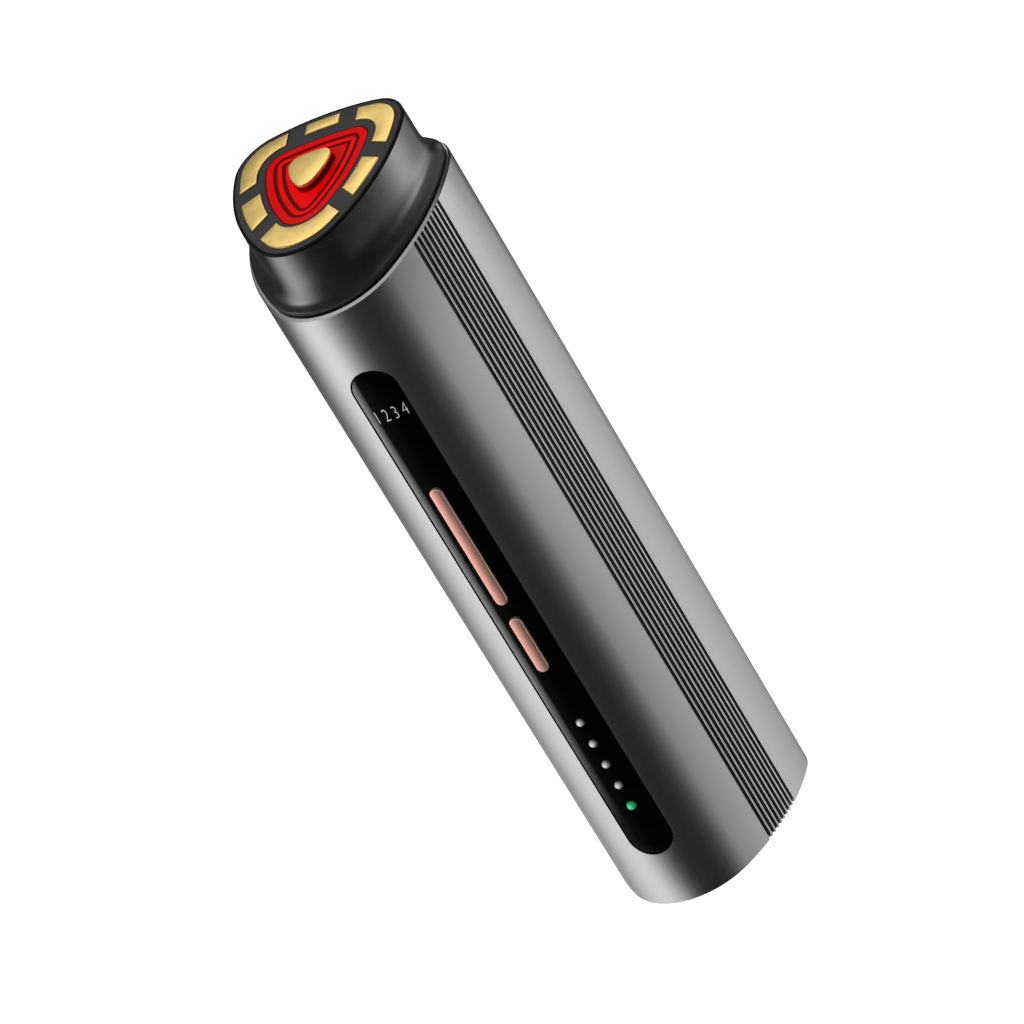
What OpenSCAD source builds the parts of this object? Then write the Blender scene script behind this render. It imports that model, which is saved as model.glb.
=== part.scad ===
// Facial toning wand: aluminium tube with a slanted electrode head and a front control strip.
// The wand stands on its base at z = 0, its long axis is +Z and its control strip faces -Y.

/* [Body tube] */
// Width across the two back corners
body_w = 48; // [46:0.5:52]
// Reach of the tube towards the front
body_front = 25.3; // [25:0.1:26]
// Reach of the tube towards the back
body_rear = 24.8; // [24.4:0.1:26]
// Radius of the front corner
body_front_r = 17.2; // [16.4:0.2:18]
// Radius of each back corner
body_back_r = 9; // [8.4:0.2:11]
// Radius of the bowed sides
body_side_r = 50.4; // [46:0.2:60]
// Radius of the bowed back
body_rear_r = 34; // [33:0.5:50]
// Wall of the tube
wall = 1.6; // [1.4:0.1:2]
// Height of the rim where it crosses the axis
rim_z = 167.8; // [166:0.2:172]
// Slant of the rim, up towards the back
rim_tilt = 9.95; // [8:0.05:11]

/* [Grip grooves] */
// Grooves on each side
groove_count = 9; // [3:1:11]
// Distance from groove to groove
groove_pitch = 1.41; // [1.2:0.01:1.6]
// Width of a groove
groove_w = 0.72; // [0.4:0.02:0.9]
// Depth of a groove
groove_depth = 0.5; // [0.2:0.05:0.7]
// Turn of the grooves from the middle of the side, towards the front
groove_turn = 1.8; // [0:0.1:4]
// Metal left between a groove's top end and the rim
groove_top_gap = 0.3; // [0.2:0.05:6]

/* [Head] */
// Width of the face
face_w = 40.2; // [38:0.2:42]
// Reach of the face towards the front
face_front = 23.2; // [22:0.2:24]
// Reach of the face towards the back
face_rear = 21; // [20:0.1:22]
// Radius of the face's front corner
face_front_r = 11.75; // [10:0.25:14]
// Radius of the face's back corners
face_back_r = 9.7; // [8:0.1:11]
// Radius of the face's bowed sides
face_side_r = 47; // [40:1:60]
// Radius of the face's bowed back
face_rear_r = 54; // [45:1:70]
// Height of the face above the rim, on the axis
face_h = 13.6; // [12.2:0.1:18.2]
// Slant of the face, up towards the back
face_tilt = 7.4; // [5:0.1:9]
// Gap between the tube's rim and the collar
collar_gap = 0.3; // [0.2:0.05:0.5]
// Step in from the tube's side to the collar
collar_inset = 0.8; // [0.5:0.05:1.2]
// Height of the collar's upright edge
collar_h = 0.8; // [0.4:0.1:1.2]
// Power of the curve from the collar up to the waist
shoulder_power = 5; // [4:0.5:6]
// How far the neck swells out, as a share of the step from collar to face
swell = 0.04; // [0:0.01:0.08]
// Width of the shell's edge round the face plate
face_edge = 0.5; // [0.4:0.1:0.8]

/* [Face plate] */
// Thickness of the face plate
plate_t = 3.4; // [3:0.1:4]
// Play between the face plate and its neighbours
plate_fit = 0.05; // [0.03:0.01:0.1]
// Thickness of the seal under the face plate
gasket_t = 0.4; // [0.3:0.05:0.6]
// Wall between the head's cavity and the face's outline
cavity_inset = 1.8; // [1.5:0.1:2]

/* [Light window] */
// Width of the window
window_w = 24.4; // [22:0.2:25]
// Reach of the window towards the front
window_front = 14.3; // [13:0.1:14.6]
// Reach of the window towards the back
window_rear = 13; // [12:0.1:13.6]
// Thickness of the window
window_t = 2.4; // [2.2:0.1:2.8]
// Width of each step in the window
window_step_w = 2; // [1.6:0.1:2.2]
// Depth of each step in the window
window_step_h = 0.5; // [0.3:0.05:0.6]
// Ledge of the face plate that carries the window
window_ledge = 1.2; // [0.8:0.1:1.6]
// Height of the pedestal above the face
pedestal_h = 1.1; // [0.6:0.1:2]

/* [Electrodes] */
// How far the electrodes stand above the face
electrode_proud = 0.35; // [0.2:0.05:0.8]
// Depth of the pocket that an electrode sits in
pocket_depth = 0.8; // [0.6:0.1:1]
// Diameter of the post under each electrode
post_d = 2; // [1.6:0.1:2.2]
// Length of each post below the face
post_l = 5; // [4.4:0.1:5.6]
// Thickness of the centre electrode
centre_t = 0.8; // [0.6:0.1:1.2]
// Bezel left outside the electrodes
bezel_edge = 1.9; // [1.7:0.1:2.2]
// Bezel between the window and the rear corner electrodes
rear_window_gap = 1.9; // [1.6:0.1:2.2]
// Bezel between the window and the side bar electrodes
side_window_gap = 1.1; // [0.9:0.1:1.4]
// Bezel between the window and the front electrode
front_window_gap = 0.8; // [0.7:0.1:1.2]
// Bezel between the window and the rear bar electrode
bar_window_gap = 2.7; // [2.4:0.1:3]
// Bezel between neighbouring electrodes
rib_w = 4.3; // [3.8:0.1:4.6]

/* [Control strip] */
// Width of the control strip
panel_w = 10.2; // [9.6:0.2:11]
// Distance from the front of the rim down to the strip
panel_from_rim = 15.2; // [13:0.2:18]
// Distance from the base up to the strip
panel_from_base = 14.2; // [13:0.2:17]
// Thickness of the strip on its centre line
panel_t = 2.15; // [2:0.05:2.4]
// How far the strip stands out of the tube
panel_proud = 0.1; // [0:0.05:0.3]
// Gap round the strip in the tube
panel_fit = 0.1; // [0.05:0.05:0.2]
// Thickness of the light mask behind the strip
mask_t = 2.8; // [2.6:0.1:3.2]
// Thickness of the key board
key_board_t = 1; // [0.8:0.1:1.2]
// Width of the key board
key_board_w = 14; // [12:0.5:15]

/* [Keys] */
// Width of both keys
key_w = 2.8; // [2.4:0.1:3.2]
// How far the keys stand out of the tube
key_proud = 1; // [0.6:0.1:1.4]
// Length of the long key
long_key_l = 30.8; // [26:0.2:31]
// Height of the long key's middle
long_key_z = 101.8; // [101:0.2:104]
// Length of the short key
short_key_l = 14; // [10:0.2:15]
// Height of the short key's middle
short_key_z = 74.6; // [73:0.2:75.6]
// Travel of each key
key_travel = 0.35; // [0.25:0.05:0.4]
// Gap round each key in the strip
key_fit = 0.12; // [0.1:0.01:0.2]
// Lip round each key that keeps it in
key_lip = 0.6; // [0.4:0.1:0.8]
// Height of a key switch
switch_h = 1.5; // [1.4:0.1:1.6]

/* [Indicators] */
// Diameter of an indicator lens
lens_d = 2.1; // [1.6:0.1:2.4]
// Radius of a lens's dome
lens_dome_r = 1.3; // [1.25:0.05:2]
// Height of the topmost lens
lens_top_z = 52.4; // [50:0.2:55]
// Distance from lens to lens
lens_pitch = 6.03; // [5:0.01:6.4]
// Distance from the strip's top down to the number display's middle
display_from_top = 10.7; // [9:0.1:12]
// Width of the number display
display_w = 7.4; // [6:0.2:8]

/* [Chassis] */
// Play between the chassis and the tube
chassis_fit = 0.2; // [0.1:0.05:0.4]
// Thickness of each bulkhead
bulkhead_t = 3; // [2.6:0.2:4]
// Height of the lower bulkhead
lower_z = 16; // [15.6:0.2:17]
// Distance from the rim down to the upper bulkhead, on the axis
upper_from_rim = 15.8; // [15:0.2:16.4]
// Width of the spine
spine_w = 26; // [22:0.5:28]
// Thickness of the spine
spine_t = 2; // [1.6:0.1:2.4]
// Depth of the rails between the spine and the key board
rail_d = 7.4; // [7:0.2:8]
// Width of each rail
rail_w = 1.4; // [1:0.1:1.8]

/* [Battery] */
// Diameter of the cell
battery_d = 18.4; // [16:0.1:19]
// Length of the cell
battery_l = 65; // [60:0.5:66]
// Thickness of the foam pad under the cell
battery_pad_t = 1.5; // [1:0.1:2]

/* [Base] */
// Thickness of the base cap
cap_t = 2.5; // [2:0.1:3]
// Step in from the tube's side to the cap
cap_inset = 0.8; // [0.6:0.05:0.9]
// Gap round the cap in the tube
cap_fit = 0.1; // [0.05:0.05:0.15]
// Distance of the cap's posts from the middle
post_x = 13; // [12:0.5:14]
// Diameter of the cap's posts
cap_post_d = 6; // [5:0.2:6.4]
// Distance of the charge port from the back
port_inset = 18.8; // [18:0.2:20]
// Width of the charge port's shell
port_w = 8.94; // [8.9:0.01:9]
// Height of the charge port's shell
port_h = 3.26; // [3.2:0.01:3.3]
// Length of the charge port's shell
port_l = 7.3; // [6.5:0.1:8]

/* [Hidden] */
$fn = 48;
big = 120;
// How far a cut runs past a surface, and a joined piece into its neighbour
past = 1;
overlap = 0.5;

// Rounded triangles: [width, front reach, rear reach, front r, back r, side r, rear r]
body_sec = [body_w, body_front, body_rear, body_front_r, body_back_r, body_side_r, body_rear_r];
face_sec = [face_w, face_front, face_rear, face_front_r, face_back_r, face_side_r, face_rear_r];
window_sec = [window_w, window_front, window_rear, 6, 4.6, 40, 60];
centre_sec = [10, 4.8, 6, 2.6, 2.6, 14, 22];

// Heights that follow the rim
face_z = rim_z + face_h;
upper_z = rim_z - upper_from_rim;
panel_l = rim_z - body_front * tan(rim_tilt) - panel_from_rim - panel_from_base;
panel_z = panel_from_base + panel_l / 2;
display_z = panel_from_base + panel_l - display_from_top;

// Depths behind the front corner
front_y = -body_front;
panel_back_y = front_y + panel_t;
board_front_y = panel_back_y + mask_t;
board_back_y = board_front_y + key_board_t;
spine_front_y = board_back_y + rail_d;
spine_back_y = spine_front_y + spine_t;

// Keys and switches
key_lip_t = 0.6;
key_rest_gap = 0.1;
button_h = 0.5;
button_d = 1.4;
button_y = board_front_y - switch_h;
key_nub_y = button_y - key_travel - key_rest_gap;
key_nub_d = 1.6;
switch_w = 3.6;
mask_key_gap = 0.2;

// Indicators
led_t = 0.6;
led_size = [1.6, 0.8];
lens_fit = 0.05;
lens_gap = 0.3;
lens_mask_gap = 0.1;
lens_stem_y = board_front_y - led_t - lens_gap;
display_h = 4;
display_gap = 0.3;
mask_margin = 0.6;

// Key board and rails
board_margin = 1;
board_bottom_z = panel_z - panel_l / 2 + board_margin;
board_top_z = panel_z + panel_l / 2 - board_margin;
rail_x = key_board_w / 2 - rail_w;
rail_end_gap = 1;

// Battery and middle bulkhead
battery_gap = 0.3;
battery_y = spine_back_y + battery_gap + battery_d / 2;
battery_z = lower_z + bulkhead_t + battery_pad_t;
middle_z = battery_z + battery_l + battery_gap;
cradle_wall = 1.4;
cradle_h = 4;

// Main board
board_t = 1.2;
main_board_w = 24;
main_board_gap = 1.5;
main_board_z = middle_z + bulkhead_t;
main_board_top_z = upper_z - main_board_gap;
main_board_y = spine_back_y + board_t;
chip_w = 7;
chip_h = 1;
core_w = 14;
core_h = 12;
core_leg = 3;
winding_d = 8;
capacitor_d = 6.3;
capacitor_l = 7.7;
capacitor_gap = 0.5;
coil_gap = 1;
chip_gap = 6;
board_screw_d = 1.6;
board_screw_head_d = 3;
board_screw_head_h = 1;
board_screw_from_side = 3;
board_screw_from_end = 4;
flex_t = 0.3;
flex_w = 6;
flex_slot = 1;
key_flex_drop = 8;

// Head fastenings
floor_t = 2;
floor_z = upper_z + bulkhead_t;
spigot_fit = 0.15;
spigot_wall = 1.7;
cavity_depth = 12;
screw_play = 0.2;
head_screw_d = 2;
head_screw_head_d = 3.6;
head_screw_head_h = 1.2;
head_screw_l = 7;
head_boss_d = 5;
head_boss_h = 6;
head_screw_at = [[-13, 9], [13, 9], [0, -17.6]];

// Head board, on bosses under the face plate
head_board_t = 1;
head_board_fit = 0.4;
head_board_gap = 4.6;
head_board_top = -(plate_t + head_board_gap);
head_board_boss_d = 3.6;
head_board_grip = 4;
boss_hole_sink = 2;
head_board_screw_at = [[0, -15.4], [-11.6, 9.6], [11.6, 9.6]];
head_led_w = 1.8;
head_led_h = 0.8;
head_led_r = 7.4;
pin_d = 1.8;
thermistor_d = 1.4;
thermistor_h = 2;
thermistor_at = [0, 4];

// Places of the electrode posts, in the face's plane
rear_corner_post = [15.2, 9.6];
side_bar_post = [12, -5.6];
front_post = [0, -18.2];
rear_bar_post = [0, 16.4];
post_places = [
  front_post, rear_bar_post, rear_corner_post, [-rear_corner_post[0], rear_corner_post[1]],
  side_bar_post, [-side_bar_post[0], side_bar_post[1]]
];
// Ribs of bezel between electrodes: [x, y, direction] of each rib's middle
rear_rib = [6.2, 17, 90];
side_rib = [15, 1.6, -27];
front_rib = [9.2, -11.8, -50];

// Base
port_y = body_rear - port_inset;
port_z = 0.6;
port_fit = 0.2;
port_wall = 0.3;
port_back_t = 1.2;
port_tongue_t = 0.7;
port_tongue_w = 6.4;
port_tongue_z = 1;
charge_board_w = 18;
charge_board_t = 1;
charge_board_gap = 0.3;
base_screw_d = 2;
base_screw_head_d = 3.8;
base_screw_head_h = 1.2;
base_screw_grip = 2.4;

// ---- outlines ----

function front_centre(s) = [0, s[3] - s[1]];
function rear_centre(s) = [0, s[2] - s[6]];
function back_centre(s) = let (x = s[0] / 2 - s[4]) [x, s[2] - s[6] + sqrt(pow(s[6] - s[4], 2) - x * x)];
function side_centre(s) =
  let (
    f = front_centre(s),
    b = back_centre(s),
    l = norm(b - f),
    u = (b - f) / l,
    p = s[5] - s[3],
    q = s[5] - s[4],
    t = (p * p - q * q + l * l) / (2 * l)
  ) f + u * t + [-u[1], u[0]] * sqrt(p * p - t * t);
function bearing(v) = atan2(v[1], v[0]);
function arc(c, r, a, b, n) = [
  for (i = [0:n - 1]) let (t = a + (b - a) * i / n) c + r * [cos(t), sin(t)]
];

// Right half of a rounded triangle drawn in by t, from the front to the back
function half_outline(s, t) =
  let (
    a = bearing(front_centre(s) - side_centre(s)),
    b = bearing(back_centre(s) - side_centre(s)),
    c = bearing(back_centre(s) - rear_centre(s))
  ) concat(
    arc(front_centre(s), s[3] - t, -90, a, 8),
    arc(side_centre(s), s[5] - t, a, b, 10),
    arc(back_centre(s), s[4] - t, b, c, 9),
    arc(rear_centre(s), s[6] - t, c, 90, 4),
    [[0, s[2] - t]]
  );
function outline(s, t = 0) =
  let (h = half_outline(s, t), n = len(h)) concat(h, [for (i = [n - 2:-1:1]) [-h[i][0], h[i][1]]]);

// Capsule of width w and length l along Y, centred at height z
function capsule_outline(w, l, z) = concat(
  arc([0, z + (l - w) / 2], w / 2, 0, 180, 16),
  [[-w / 2, z + (l - w) / 2]],
  arc([0, z - (l - w) / 2], w / 2, 180, 360, 16),
  [[w / 2, z - (l - w) / 2]]
);

module section(s, t = 0) polygon(outline(s, t));
module capsule(w, l, z = 0) polygon(capsule_outline(w, l, z));

// Solid between two depths, from an outline seen from the front
module front_slab(y_back, y_front)
  translate([0, y_back, 0]) rotate([90, 0, 0]) linear_extrude(y_back - y_front) children();

// Bar along Y through a point seen from the front
module front_pin(z, d, y_back, y_front)
  translate([0, y_back, z]) rotate([90, 0, 0]) cylinder(d = d, h = y_back - y_front);

// Frame of the slanted face, with z = 0 on the face
module on_face(z = 0) translate([0, 0, face_z]) rotate([face_tilt, 0, 0]) translate([0, 0, z]) children();

// Upright prism with the face's outline drawn in by t, cut off along the face's slant
module face_prism(t, low, high) difference() {
  translate([0, 0, face_z - big / 2])
    linear_extrude(big) polygon([for (p = outline(face_sec, t)) [p[0], p[1] * cos(face_tilt)]]);
  on_face(high) translate([-big / 2, -big / 2, 0]) cube(big);
  on_face(low - big) translate([-big / 2, -big / 2, 0]) cube(big);
}

// Everything above the slanted rim, raised by z
module above_rim(z = 0)
  translate([0, 0, rim_z + z]) rotate([rim_tilt, 0, 0]) translate([-big / 2, -big / 2, 0]) cube(big);

// ---- body ----

module body_tube() {
  groove_mid = (bearing(front_centre(body_sec) - side_centre(body_sec))
    + bearing(back_centre(body_sec) - side_centre(body_sec))) / 2 - groove_turn;
  color([0.62, 0.62, 0.63]) difference() {
    linear_extrude(rim_z + body_rear) section(body_sec);
    translate([0, 0, cap_t]) linear_extrude(rim_z + big) section(body_sec, wall);
    translate([0, 0, -past]) linear_extrude(cap_t + 2 * past) section(body_sec, cap_inset);
    above_rim();
    front_slab(front_y + body_front_r / 2, front_y - past)
      capsule(panel_w + 2 * panel_fit, panel_l + 2 * panel_fit, panel_z);
    for (i = [0:groove_count - 1], side = [0, 1])
      mirror([side, 0, 0])
        groove(groove_mid + (i - (groove_count - 1) / 2) * groove_pitch / body_side_r * 180 / PI);
  }
}

// Groove in the right side, at an angle round the side's centre
module groove(angle) {
  p = side_centre(body_sec) + body_side_r * [cos(angle), sin(angle)];
  top = rim_z + p[1] * tan(rim_tilt) - groove_top_gap;
  below = groove_w + past;
  translate([p[0], p[1], 0]) rotate(angle) translate([past, 0, 0]) rotate([90, 0, -90])
    linear_extrude(past + groove_depth) capsule(groove_w, top + below, (top - below) / 2);
}

// ---- head ----

// Share of the way from the collar's outline to the face's, at height h from 0 to 1
function blend(h) = 1 - pow(1 - h, shoulder_power) - swell * sin(180 * h);

// Ring of the head's skin at height h, on a plane that turns from the rim's slant to the face's
function head_ring(h, drop = 0) =
  let (
    a = outline(body_sec, collar_inset),
    b = outline(face_sec),
    k = blend(h),
    low = rim_z + collar_gap + collar_h,
    slant = tan(rim_tilt + (face_tilt - rim_tilt) * h)
  ) [
    for (i = [0:len(a) - 1])
      let (x = a[i][0] * (1 - k) + b[i][0] * k, y = a[i][1] * (1 - k) + b[i][1] * cos(face_tilt) * k)
        [x, y, low + (face_z - low) * h + slant * y - drop]
  ];

module head_skin() {
  steps = 9;
  rings = concat([head_ring(0, collar_h)], [for (i = [0:steps]) head_ring(pow(i / steps, 1.3))]);
  n = len(rings[0]);
  last = len(rings) - 1;
  sides = [
    for (j = [0:last - 1], i = [0:n - 1], f = [0, 1])
      let (a = j * n + i, b = j * n + (i + 1) % n) f == 0 ? [a, a + n, b] : [b, a + n, b + n]
  ];
  caps = [[for (i = [0:n - 1]) i], [for (i = [n - 1:-1:0]) last * n + i]];
  polyhedron([for (r = rings, p = r) p], concat(sides, caps));
}

module head_shell() {
  bore_inset = wall + spigot_fit + spigot_wall;
  sink = plate_t + gasket_t;
  color([0.09, 0.09, 0.1]) {
    difference() {
      union() {
        head_skin();
        difference() {
          translate([0, 0, floor_z])
            linear_extrude(rim_z - floor_z + body_rear) section(body_sec, wall + spigot_fit);
          above_rim(collar_gap + collar_h / 2);
        }
      }
      difference() {
        translate([0, 0, floor_z + floor_t]) linear_extrude(rim_z) section(body_sec, bore_inset);
        above_rim(-past);
      }
      face_prism(cavity_inset, -sink - cavity_depth, past);
      face_prism(face_edge, -sink, past);
      flex_opening(floor_z - past, floor_t + 2 * past);
      head_screw_holes();
    }
    difference() {
      translate([0, 0, floor_z + floor_t])
        for (p = head_screw_at) translate(p) cylinder(d = head_boss_d, h = head_boss_h);
      head_screw_holes();
    }
  }
}

module head_screw_holes()
  translate([0, 0, floor_z - past]) for (p = head_screw_at)
    translate(p) cylinder(d = head_screw_d, h = head_screw_l);

module flex_opening(z, h)
  translate([-flex_w / 2 - flex_slot, main_board_y - flex_slot, z])
    cube([flex_w + 2 * flex_slot, 2 * flex_slot + flex_t, h]);

module head_gasket() {
  color([0.2, 0.2, 0.2]) difference() {
    face_prism(face_edge + 2 * plate_fit, -plate_t - gasket_t, -plate_t);
    face_prism(cavity_inset, -plate_t - 2 * gasket_t, past);
  }
}

module head_screws() {
  color("silver") translate([0, 0, upper_z]) for (p = head_screw_at) translate(p) {
    cylinder(d = head_screw_d, h = head_screw_l);
    translate([0, 0, -head_screw_head_h]) cylinder(d = head_screw_head_d, h = head_screw_head_h);
  }
}

// ---- face ----

// Half plane to the left of a line from a rib's middle, moved by d across the rib
module beyond(rib, d) translate([rib[0], rib[1]]) rotate(rib[2]) translate([-big / 2, d]) square(big);

// Half plane to the right of the same line
module before(rib, d) translate([rib[0], rib[1]]) rotate(rib[2]) translate([-big / 2, d - big]) square(big);

module band(window_gap, grow) difference() {
  section(face_sec, bezel_edge - grow);
  section(window_sec, -window_gap + grow);
}

module rear_corner_shape(grow = 0) intersection() {
  band(rear_window_gap, grow);
  before(rear_rib, -rib_w / 2 + grow);
  beyond(side_rib, rib_w / 2 - grow);
  translate([0, -big / 2]) square(big);
}

module side_bar_shape(grow = 0) intersection() {
  band(side_window_gap, grow);
  before(side_rib, -rib_w / 2 + grow);
  beyond(front_rib, rib_w / 2 - grow);
}

module front_shape(grow = 0) intersection() {
  band(front_window_gap, grow);
  before(front_rib, -rib_w / 2 + grow);
  mirror([1, 0]) before(front_rib, -rib_w / 2 + grow);
}

module rear_bar_shape(grow = 0) intersection() {
  band(bar_window_gap, grow);
  beyond(rear_rib, rib_w / 2 - grow);
  mirror([1, 0]) beyond(rear_rib, rib_w / 2 - grow);
  translate([-big / 2, 0]) square(big);
}

module each_electrode_shape(grow) {
  front_shape(grow);
  rear_bar_shape(grow);
  for (side = [0, 1]) mirror([side, 0]) {
    rear_corner_shape(grow);
    side_bar_shape(grow);
  }
}

module electrode(at) {
  color([0.85, 0.7, 0.4]) on_face() {
    translate([0, 0, -pocket_depth]) linear_extrude(pocket_depth + electrode_proud) children();
    translate([0, 0, -post_l]) translate(at) cylinder(d = post_d, h = post_l);
  }
}

module centre_electrode() {
  color([0.85, 0.7, 0.4]) on_face() {
    translate([0, 0, pedestal_h]) linear_extrude(centre_t) section(centre_sec);
    translate([0, 0, -post_l]) cylinder(d = post_d, h = post_l + pedestal_h + centre_t / 2);
  }
}

module light_window() {
  color([0.85, 0.05, 0.05]) on_face() difference() {
    union() {
      difference() {
        translate([0, 0, -window_t]) linear_extrude(window_t) section(window_sec);
        for (i = [1, 2])
          translate([0, 0, -i * window_step_h])
            linear_extrude(window_t) section(window_sec, i * window_step_w);
      }
      translate([0, 0, -window_t / 2]) linear_extrude(window_t / 2 + pedestal_h) section(centre_sec, 0.2);
    }
    translate([0, 0, -window_t - past])
      cylinder(d = post_d + 2 * plate_fit, h = window_t + pedestal_h + 2 * past);
  }
}

module face_plate() {
  color([0.2, 0.2, 0.21]) difference() {
    union() {
      face_prism(face_edge + plate_fit, -plate_t, 0);
      on_face(head_board_top) for (p = head_board_screw_at)
        translate(p) cylinder(d = head_board_boss_d, h = head_board_gap + plate_t / 2);
    }
    on_face() {
      translate([0, 0, -window_t]) linear_extrude(window_t + past) section(window_sec, -plate_fit);
      translate([0, 0, -plate_t - past]) linear_extrude(plate_t) section(window_sec, window_ledge);
      translate([0, 0, -pocket_depth]) linear_extrude(pocket_depth + past) each_electrode_shape(plate_fit);
      translate([0, 0, -plate_t - past])
        for (p = post_places) translate(p) cylinder(d = post_d + 2 * plate_fit, h = plate_t + past);
      translate([0, 0, head_board_top - past]) for (p = head_board_screw_at)
        translate(p) cylinder(d = board_screw_d, h = past + head_board_gap + boss_hole_sink);
    }
  }
}

module contact_pins() {
  pin_l = -post_l - head_board_top;
  color("gold") on_face(head_board_top) for (p = concat(post_places, [[0, 0]]))
    translate(p) cylinder(d = pin_d, h = pin_l);
}

module head_board() {
  under = head_board_top - head_board_t;
  color([0.1, 0.4, 0.2]) difference() {
    face_prism(cavity_inset + head_board_fit, under, head_board_top);
    on_face(under - past) for (p = head_board_screw_at)
      translate(p) cylinder(d = board_screw_d + screw_play, h = head_board_t + 2 * past);
  }
}

module head_leds() {
  color([0.9, 0.3, 0.3]) on_face(head_board_top) for (i = [0:5])
    rotate(30 + i * 60) translate([head_led_r, 0, 0])
      linear_extrude(head_led_h) square(head_led_w, center = true);
}

module thermistor() {
  color("darkorange") on_face(head_board_top) translate(thermistor_at)
    cylinder(d = thermistor_d, h = thermistor_h);
}

module head_board_screws() {
  under = head_board_top - head_board_t;
  color("silver") on_face(under) for (p = head_board_screw_at) translate(p) {
    cylinder(d = board_screw_d, h = head_board_t + head_board_grip);
    translate([0, 0, -board_screw_head_h]) cylinder(d = board_screw_head_d, h = board_screw_head_h);
  }
}

module head_flex() {
  color([0.9, 0.5, 0.1]) difference() {
    translate([-flex_w / 2, main_board_y, main_board_top_z - flex_w])
      cube([flex_w, flex_t, face_z - main_board_top_z + flex_w]);
    on_face(head_board_top - head_board_t) translate([-big / 2, -big / 2, 0]) cube(big);
  }
}

// ---- chassis and boards ----

module bulkhead(z, open_front) difference() {
  translate([0, 0, z]) linear_extrude(bulkhead_t) section(body_sec, wall + chassis_fit);
  if (open_front) translate([-big / 2, board_back_y - big, z - past]) cube([big, big, bulkhead_t + 2 * past]);
}

module cradle(z, h) difference() {
  translate([0, battery_y, z]) cylinder(d = battery_d + 2 * battery_gap + 2 * cradle_wall, h = h);
  translate([0, battery_y, z - past]) cylinder(d = battery_d + 2 * battery_gap, h = h + 2 * past);
}

module chassis() {
  lower_top = lower_z + bulkhead_t;
  color([0.85, 0.85, 0.83]) difference() {
    union() {
      bulkhead(lower_z, true);
      bulkhead(middle_z, true);
      bulkhead(upper_z, false);
      translate([-spine_w / 2, spine_front_y, lower_z])
        cube([spine_w, spine_t, upper_z - lower_z + bulkhead_t]);
      for (x = [-rail_x - rail_w, rail_x]) translate([x, board_back_y, lower_z])
        cube([rail_w, rail_d + spine_t / 2, board_top_z - rail_end_gap - lower_z]);
      cradle(lower_top - overlap, cradle_h + overlap);
      cradle(middle_z - cradle_h, cradle_h + overlap);
    }
    flex_opening(upper_z - past, bulkhead_t + 2 * past);
    key_flex_opening();
    translate([0, 0, upper_z - past])
      for (p = head_screw_at) translate(p) cylinder(d = head_screw_d + screw_play, h = bulkhead_t + 2 * past);
    for (side = [-1, 1])
      translate([side * post_x, 0, lower_z - past]) cylinder(d = base_screw_d, h = bulkhead_t + 2 * past);
    main_board_screw_places(spine_front_y - past) cylinder(d = board_screw_d, h = spine_t + 2 * past);
  }
}

key_flex_z = main_board_top_z - key_flex_drop;
module key_flex_opening()
  translate([-flex_w / 2 - flex_slot / 2, spine_front_y - past, key_flex_z - flex_slot / 2])
    cube([flex_w + flex_slot, spine_t + 2 * past, flex_t + flex_slot]);

module key_flex() {
  color([0.9, 0.5, 0.1])
    translate([-flex_w / 2, board_back_y, key_flex_z]) cube([flex_w, spine_back_y - board_back_y, flex_t]);
}

// Heights on the main board: capacitors clear of the screws, then the transformer, then the chip
capacitor_z = main_board_z + board_screw_from_end + (board_screw_head_d + capacitor_d) / 2 + capacitor_gap;
transformer_z = capacitor_z + capacitor_d / 2 + coil_gap;
chip_z = transformer_z + core_w + chip_gap;

// At each corner of the main board, with +Z turned towards the back
module main_board_screw_places(y)
  for (x = [-1, 1], z = [main_board_z + board_screw_from_end, main_board_top_z - board_screw_from_end])
    translate([x * (main_board_w / 2 - board_screw_from_side), y, z]) rotate([-90, 0, 0]) children();

module main_board() {
  color([0.1, 0.35, 0.2]) difference() {
    translate([-main_board_w / 2, spine_back_y, main_board_z])
      cube([main_board_w, board_t, main_board_top_z - main_board_z]);
    main_board_screw_places(spine_back_y - past)
      cylinder(d = board_screw_d + screw_play, h = board_t + 2 * past);
  }
}

module main_board_screws() {
  color("silver") {
    main_board_screw_places(spine_front_y) cylinder(d = board_screw_d, h = spine_t + board_t);
    main_board_screw_places(main_board_y) cylinder(d = board_screw_head_d, h = board_screw_head_h);
  }
}

module controller_chip() {
  color([0.15, 0.15, 0.15])
    translate([-chip_w / 2, main_board_y, chip_z]) cube([chip_w, chip_h, chip_w]);
}

module rf_transformer() {
  window_h = core_w - 2 * core_leg;
  color([0.3, 0.3, 0.32]) translate([0, main_board_y, transformer_z]) {
    difference() {
      translate([-core_w / 2, 0, 0]) cube([core_w, core_h, core_w]);
      translate([-core_w / 2 - past, -past, core_leg])
        cube([core_w + 2 * past, core_h - core_leg + past, window_h]);
    }
    translate([0, (core_h - core_leg) / 2, core_leg - overlap])
      cylinder(d = winding_d, h = window_h + 2 * overlap);
  }
}

module power_capacitors() {
  color([0.2, 0.25, 0.5]) for (x = [-1, 1])
    translate([x * (capacitor_d / 2 + capacitor_gap), main_board_y, capacitor_z]) rotate([-90, 0, 0])
      cylinder(d = capacitor_d, h = capacitor_l);
}

module battery() {
  color([0.2, 0.45, 0.7]) translate([0, battery_y, battery_z]) cylinder(d = battery_d, h = battery_l);
}

module battery_pad() {
  color([0.3, 0.3, 0.3]) translate([0, battery_y, battery_z - battery_pad_t])
    cylinder(d = battery_d - 2, h = battery_pad_t);
}

// ---- base ----

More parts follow.
